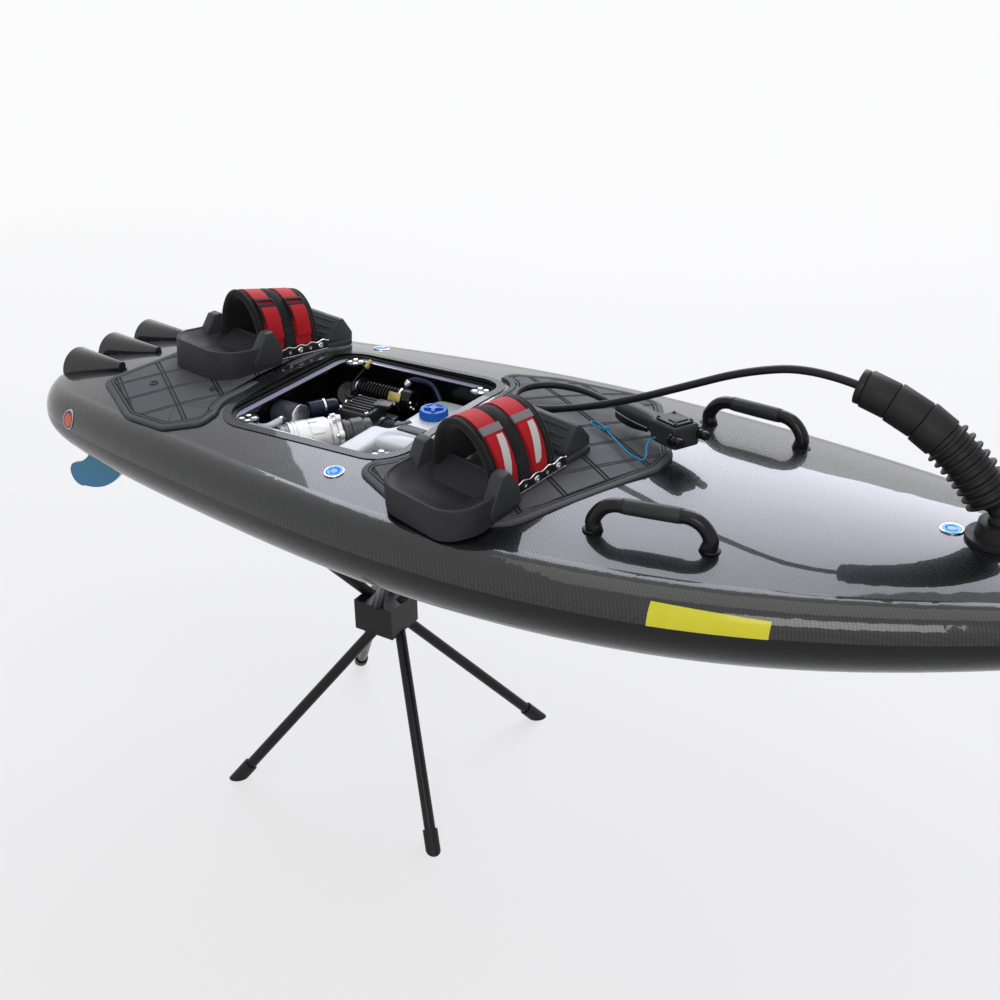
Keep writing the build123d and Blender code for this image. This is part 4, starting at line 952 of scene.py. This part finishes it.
# Engine: block, crankcase barrel, ribbed top and bolts
engine = Shape().block((84, 112, 66), at(-372, 36, BAY_FLOOR), 3, 6)
barrel = [(27, 52), (27, 58), (25, 59), (25, 64), (27, 65), (27, 84), (24, 88), (24, 98), (18, 102),
          (0, 102)]
engine.lathe(barrel, generator, 48)
engine.block((60, 62, 21), at(-382, 60, BAY_FLOOR + 64), 3, 6)
for step in range(6):
    engine.block((52, 3, 8), at(-382, 36 + step * 9.4, BAY_FLOOR + 82), 1, 1)
engine.block((30, 24, 6), at(-352, 78, BAY_FLOOR + 84, 10), 1, 3)
engine.block((24, 20, 10), at(-352, 22, BAY_FLOOR + 66, 52), 2, 3)
for x, y in ((-408, 34), (-408, 86), (-356, 34), (-340, 88)):
    bolt(bay_bolts, at(x, y, BAY_FLOOR + 85), 3.6, 3.2)
engine.made("engine_casting", dark_alloy, replaces=("engine_block",), slot="dark_alloy", angle=30)

# Exhaust side: ribbed pot, muffler, small starter and belt wheel
pot_place = facing((-440, 132, 640), ALONG)
ribs = [(0, 0), (15, 0), (17, 1.5), (17, 4), (19.6, 5), (19.6, 9), (17, 10)]
for step in range(12):
    start = 13 + step * 6.2
    ribs += [(17, start), (19.9, start + 0.7), (19.9, start + 2.9), (17, start + 3.6)]
ribs += [(17, 92), (20, 93), (20, 110), (18.6, 112), (12, 112), (11, 110.6), (0, 110.6)]
pot = Shape().lathe(ribs, pot_place, 48)
pot.made("pot_ribs", black_gloss, replaces=("ribbed_pot",), slot="black_paint", angle=30)
clamps = Shape().lathe([(19.5, 88), (21, 88.4), (21, 92.6), (19.5, 93)], pot_place, 48)
clamps.lathe([(18.6, -0.5), (19.8, 0), (19.8, 2.4), (18.6, 3)], pot_place, 48)
for turn in (80, 120, 160):
    bolt(bay_bolts, pot_place @ at(0, 0, 112, turn) @ at(13), 3.2, 2.6)
muffler_place = facing((-487.6, -34, 648), ALONG)
muffler_profile = [(0, 0), (20, 0), (22, 2), (22, 43), (21, 44), (22, 45), (22, 49), (19, 49),
                   (18, 47), (0, 46)]
muffler = Shape().lathe(muffler_profile, muffler_place, 56)
muffler.made("muffler_can", muffler_grey, replaces=("muffler",), slot="black_paint", angle=30)
clamps.lathe([(21.8, 46.6), (22.9, 47), (22.9, 49.2), (20.4, 49.7)], muffler_place, 56)
starter_place = facing((-462, 12, 640), (31, 50, 0))
starter_profile = [(0, 0), (12, 0), (14, 2), (14, 28), (12.4, 29), (12.4, 46), (10, 52), (0, 52)]
starter = Shape().lathe(starter_profile, starter_place, 40)
starter.block((20, 16, 40), at(-432, 56, BAY_FLOOR + 30, 58), 2, 4)
starter.made("starter_can", navy_gloss, slot="black_paint", angle=30)
clamps.lathe([(13.8, 26), (15, 26.4), (15, 29.6), (13.2, 30)], starter_place, 40)
wheel_place = facing((-453, 116, 632), (0.5, -0.6, 0.62))
wheel_profile = [(0, -9), (22, -9), (23, -7), (20, -5), (20, -1), (23, 1), (23, 4), (21, 5), (9, 4),
                 (8, 8), (0, 8)]
wheel = Shape().lathe(wheel_profile, wheel_place, 48)
wheel.tube([(-466, 122, BAY_FLOOR), (-462, 122, 632)], 9, 20)
wheel.made("belt_wheel", black_gloss, slot="black_paint", angle=30)
for turn in (150, 190, 260):
    clamps.block((5, 3, 1.6), wheel_place @ at(0, 0, 4.8, turn) @ at(15), 0.4, 1)
clamps.made("bay_clamps", bright_alloy, slot="bright_steel", angle=30)

# Pipes, hoses and the plug lead
pipe = Shape().tube(bowed([(-487.6, -96, 648), (-461.7, -96, 648), (-461.7, -57, 648)], [15]), 6, 20)
pipe.made("coolant_line", white_plastic, replaces=("coolant_pipe",), slot="silicone_pipe", angle=60)
hoses = Shape()
hose_place = facing((-329.7, 40, 622), ALONG)
hoses.lathe([(17.4 + 3.6 * abs(sin(pi * s / 8)), 37.4 * s / 48) for s in range(49)], hose_place, 48)
hoses.made("air_bellows", black_rubber, replaces=("air_hose",), slot="black_rubber", angle=60)
collars = Shape()
for start in (-0.4, 30.4):
    collars.lathe([(20.6, start), (23.8, start + 0.8), (23.8, start + 6.4), (20.6, start + 7.2)],
                  hose_place, 48)
hose_path = bowed([(-350, 138, 650), (-346, 144, 674), (-300, 150, 674), (-282, 146, 642)], [14, 18])
collars.tube(hose_path, 5, 16)
collars.made("hose_collars", navy_gloss, slot="black_rubber", angle=60)
lead = Shape()
lead_path = bowed([(-440, 108, 642), (-448, 122, 656), (-436, 143, 676)], [12], 24)
lead.tube(lead_path[:14], [4.4 if step % 2 else 3.4 for step in range(14)], 12)
lead.tube(lead_path[13:], 1.8, 8)
lead.made("plug_lead", black_rubber, slot="black_rubber", angle=180)
fittings = Shape()
fittings.lathe([(6.4, -4), (6.4, 4), (5.4, 6)], facing(hose_path[3], hose_path[4] - hose_path[3]), 24)
fittings.lathe([(7.6, 0), (7.6, 7), (6.2, 8)], facing((-461.7, -62, 648), (0, 1, 0)), 24)
fittings.made("hose_fittings", bright_alloy, slot="bright_steel", angle=40)
gold = Shape().block((8, 7, 16), facing(lead_path[-1], (0.25, 0.6, 0.5)), 0.6, 1.5)
gold.block((24, 15, 1.6), pot_place @ at(turn=62) @ facing((20.4, 0, 84), ALONG, UP), 0.4, 2)
gold.made("gold_tags", gold_label, slot="yellow_sticker")
bay_bolts.made("bay_bolts", bright_alloy, slot="bright_steel", angle=40)

# Fuel tank with its arm, the cap with a cross grip, and the black pieces on it
TANK_TOP = 647.1
tank_corners = [(-326, -118, 18), (-284, -118, 18), (-284, -2, 8), (-172, -2, 14), (-172, 152, 38),
                (-292, 152, 20), (-292, 12, 10), (-326, 12, 14)]
tank = Shape().moulding(rounded(tank_corners), [
    (3, BAY_FLOOR), (0, BAY_FLOOR + 3), (0, TANK_TOP - 9), (0.7, TANK_TOP - 5), (2.6, TANK_TOP - 2),
    (5.4, TANK_TOP - 0.5), (8.5, TANK_TOP)])
arm = rounded([(-300, -40, 12), (-190, -40, 16), (-190, 4, 6), (-300, 4, 6)])
tank.moulding(arm, [(2, 616), (0, 618), (0, TANK_TOP - 8), (2, TANK_TOP - 3), (6, TANK_TOP - 0.4)])
tank.made("tank_shell", white_plastic, replaces=("fuel_tank",), slot="white_plastic", angle=50)
CAP_RADIUS, CAP_RIB, CAP_STEPS = 24.0, 0.9, 96
cap_ring = []
for step, (x, y) in enumerate(circle(1.0, CAP_STEPS)):
    reach = CAP_RADIUS - CAP_RIB * (step % 4 > 1)
    cap_ring.append((reach * x, reach * y))
cap_place = at(-256, 84, TANK_TOP + 0.3)
filler = Shape().moulding(cap_ring, [(0, 0), (0, 10.5), (0.8, 12)], cap_place)
filler.lathe([(22.6, 11.6), (22.6, 13.4), (21.4, 14.4), (17, 14.4), (16, 12.8), (0, 12.8)], cap_place, 48)
for turn in (28, 118):
    filler.block((33, 6.5, 4.4), cap_place @ at(0, 0, 12.4, turn), 1.2, 2)
filler.lathe([(7, 12.4), (7, 17), (0, 17)], cap_place, 24)
filler.made("filler_cap_ribs", blue_plastic, replaces=("filler_cap",), slot="blue_plastic", angle=35)
trims = Shape().block((84, 88, 50), at(-216, -62, BAY_FLOOR), 2, 5)
trims.block((46, 22, 3.2), at(-256, 20, TANK_TOP - 0.6, -4), 0.8, 1.5)
trims.block((44, 26, 2.4), at(-208, 24, TANK_TOP - 1.0, 2), 0.8, 1.5)
trims.block((30, 10, 2.4), at(-284, 34, TANK_TOP - 0.6, 60), 0.8, 1.5)
trims.made("bay_trims", black_plastic, replaces=("control_box",), slot="black_plastic")

SLOPE_REACH = 12


def on_deck(x, y, lift):
    """Placement on the deck that leans with it."""
    slope_x = (deck_z(x + SLOPE_REACH, y) - deck_z(x - SLOPE_REACH, y)) / (2 * SLOPE_REACH)
    slope_y = (deck_z(x, y + SLOPE_REACH) - deck_z(x, y - SLOPE_REACH)) / (2 * SLOPE_REACH)
    return facing((x, y, deck_z(x, y) + lift), (-slope_x, -slope_y, 1), ALONG)


# Deck fittings: a bright ring round a blue dish with a six-sided socket
rings, dishes, sockets = Shape(), Shape(), Shape()
for x, y in ((-222, -224), (-461, 226), (585, -2)):
    place = on_deck(x, y, 0.2)
    rings.lathe([(15, 0), (15, 1.4), (14, 2.0), (12.8, 1.8), (12.6, 0.6)], place)
    dishes.lathe([(12.7, 0.4), (12.4, 1.6), (10, 2.2), (8, 1.8), (6.4, 1.0), (6.2, 1.6), (4.8, 1.7)], place)
    sockets.moulding(circle(4.9, 6), [(0, 0.6), (0, 1.9)], place)
rings.made("fitting_rings", bright_alloy, replaces=("deck_fittings",), slot="bright_alloy")
dishes.made("fitting_dishes", blue_anodised, slot="blue_plastic")
sockets.made("fitting_sockets", cap_grey, slot="bright_alloy")

# Pole: its rings and sleeves follow one bend
BEND_X, BEND_Z, BEND_RADIUS, POLE_HEADING = 388.85, 596.0, 290.0, 120.0
BALL_RADIUS = 16
RING_START, RING_STEP, RING_COUNT = 6.0, 2.4, 8
SLEEVE_START, SLEEVE_GAP = 25.26, 0.06
# Sleeves, columns: length along the bend in degrees, radius
sleeve_rows = [(6.5, 28), (8.2, 26), (7.2, 24.5), (1.8, 22.5)]


def bend_spot(turn):
    """Point of the pole's bend at a turn in degrees, and the angle there."""
    angle = radians(POLE_HEADING + turn)
    return (BEND_X + BEND_RADIUS * sin(angle), 0, BEND_Z - BEND_RADIUS * cos(angle)), angle


def bent(profile, steps=48):
    """Turned form along the pole's bend from (turn, radius) pairs."""
    rings = []
    for turn, radius in profile:
        spot, angle = bend_spot(turn)
        place = facing(spot, (cos(angle), 0, sin(angle)), (0, 1, 0))
        rings.append([place @ Vector((x, y, 0)) for x, y in circle(radius, steps)])
    return Shape().rings(rings)


ball = [(BALL_RADIUS * cos(radians(a)), BALL_RADIUS * sin(radians(a))) for a in range(-90, 91, 6)]
bellows = [(0.0, 10), (3.6, 10), (4.4, 11.5), (5.2, 16), (5.8, 22), (RING_START, 25)]
for step in range(RING_COUNT):
    start = RING_START + RING_STEP * step
    bellows += [(start + 0.15, 25), (start + 0.35, 29.6), (start + 0.55, 31), (start + 1.0, 31),
                (start + 1.2, 29.6), (start + 1.4, 25.6), (start + 2.3, 25)]
pole = bent(bellows)
pole.lathe(ball, at(*bend_spot(0)[0]), 36)
pole.made("pole_rings", black_rubber, "pole", replaces=("pole_bellows",), slot="black_rubber", angle=35)
sleeves = []
start = SLEEVE_START
for length, radius in sleeve_rows:
    finish = start + length
    sleeves += [(start, radius - 2.2), (start + 0.12, radius - 0.5), (start + 0.4, radius),
                (finish - 0.4, radius), (finish - 0.12, radius - 0.5), (finish, radius - 2.2)]
    start = finish + SLEEVE_GAP
bent(sleeves).made("pole_tubes", black_rubber, "pole", replaces=("pole_sleeves",), slot="black_rubber",
                   angle=35)

# Floor, world and lamps: a pale backdrop for the rays that are seen, soft light for the others
BACKDROP = (0.97, 0.97, 0.975, 1)
SKY_LIGHT = (0.93, 0.94, 1.0, 1)
SKY_STRENGTH = 0.32
FLOOR_REACH = 20
# The floor's shadow fades into the backdrop between these distances in metres
FADE_START, FADE_END = 1.2, 5.0
BACKDROP_SHARE = 0.7


def seen_rays(tree):
    """One for camera, glossy and transmission rays, and nought for the others."""
    path = tree.nodes.new("ShaderNodeLightPath")
    seen = path.outputs["Is Camera Ray"]
    for ray in ("Is Glossy Ray", "Is Transmission Ray"):
        either = tree.nodes.new("ShaderNodeMath")
        either.operation = "MAXIMUM"
        tree.links.new(seen, either.inputs[0])
        tree.links.new(path.outputs[ray], either.inputs[1])
        seen = either.outputs[0]
    return seen


def choose(tree, share, plain, seen, output):
    """Mixes two shaders by a share and sends them to the output."""
    mixed = tree.nodes.new("ShaderNodeMixShader")
    for value, socket in zip((share, plain.outputs[0], seen.outputs[0]), mixed.inputs):
        tree.links.new(value, socket)
    tree.links.new(mixed.outputs[0], tree.nodes[output].inputs[0])


floor_mesh = bpy.data.meshes.new("floor")
floor_corners = [(x * FLOOR_REACH, y * FLOOR_REACH, 0) for x, y in ((-1, -1), (1, -1), (1, 1), (-1, 1))]
floor_mesh.from_pydata(floor_corners, [], [(0, 1, 2, 3)])
floor = linked("floor", floor_mesh)
floor_paint = Shader("floor_paint", (0.8, 0.8, 0.8), 0.7)
floor_mesh.materials.append(floor_paint.material)
floor_glow = floor_paint.tree.nodes.new("ShaderNodeEmission")
floor_glow.inputs[0].default_value = BACKDROP
distance = floor_paint.node("VectorMath", 1, {"operation": "LENGTH"}, i0=floor_paint.place())
fade = floor_paint.ramp(distance, FADE_START, FADE_END, BACKDROP_SHARE, 1.0)
floor_share = floor_paint.math("MULTIPLY", seen_rays(floor_paint.tree), fade)
choose(floor_paint.tree, floor_share, floor_paint.main, floor_glow, "Material Output")

world = bpy.data.worlds.new("world")
bpy.context.scene.world = world
world.use_nodes = True
sky = world.node_tree.nodes["Background"]
sky.inputs[0].default_value = SKY_LIGHT
sky.inputs[1].default_value = SKY_STRENGTH
sky_seen = world.node_tree.nodes.new("ShaderNodeBackground")
sky_seen.inputs[0].default_value = BACKDROP
sky_seen.inputs[1].default_value = 1.0
choose(world.node_tree, seen_rays(world.node_tree), sky, sky_seen, "World Output")


def softbox(name, place, target, size, power, colour):
    """Rectangular area lamp that looks at a target."""
    lamp = bpy.data.lights.new(name, "AREA")
    lamp.shape = "RECTANGLE"
    lamp.size, lamp.size_y = size
    lamp.energy = power
    lamp.color = colour
    made = linked(name, lamp)
    made.location = place
    made.rotation_euler = (Vector(target) - Vector(place)).to_track_quat("-Z", "Y").to_euler()


softbox("sky_box", (-1.6, 4.0, 3.9), (0.2, 0, 0.7), (5.2, 4.0), 230, (0.86, 0.87, 1.0))
softbox("top_box", (0.2, -0.6, 3.6), (0, 0, 0.7), (2.5, 2.5), 20, (1.0, 0.98, 0.95))
softbox("near_box", (1.6, -3.2, 2.4), (0, 0, 0.6), (1.6, 1.6), 32, (1.0, 0.97, 0.94))

bpy.context.scene.view_settings.view_transform = "Standard"
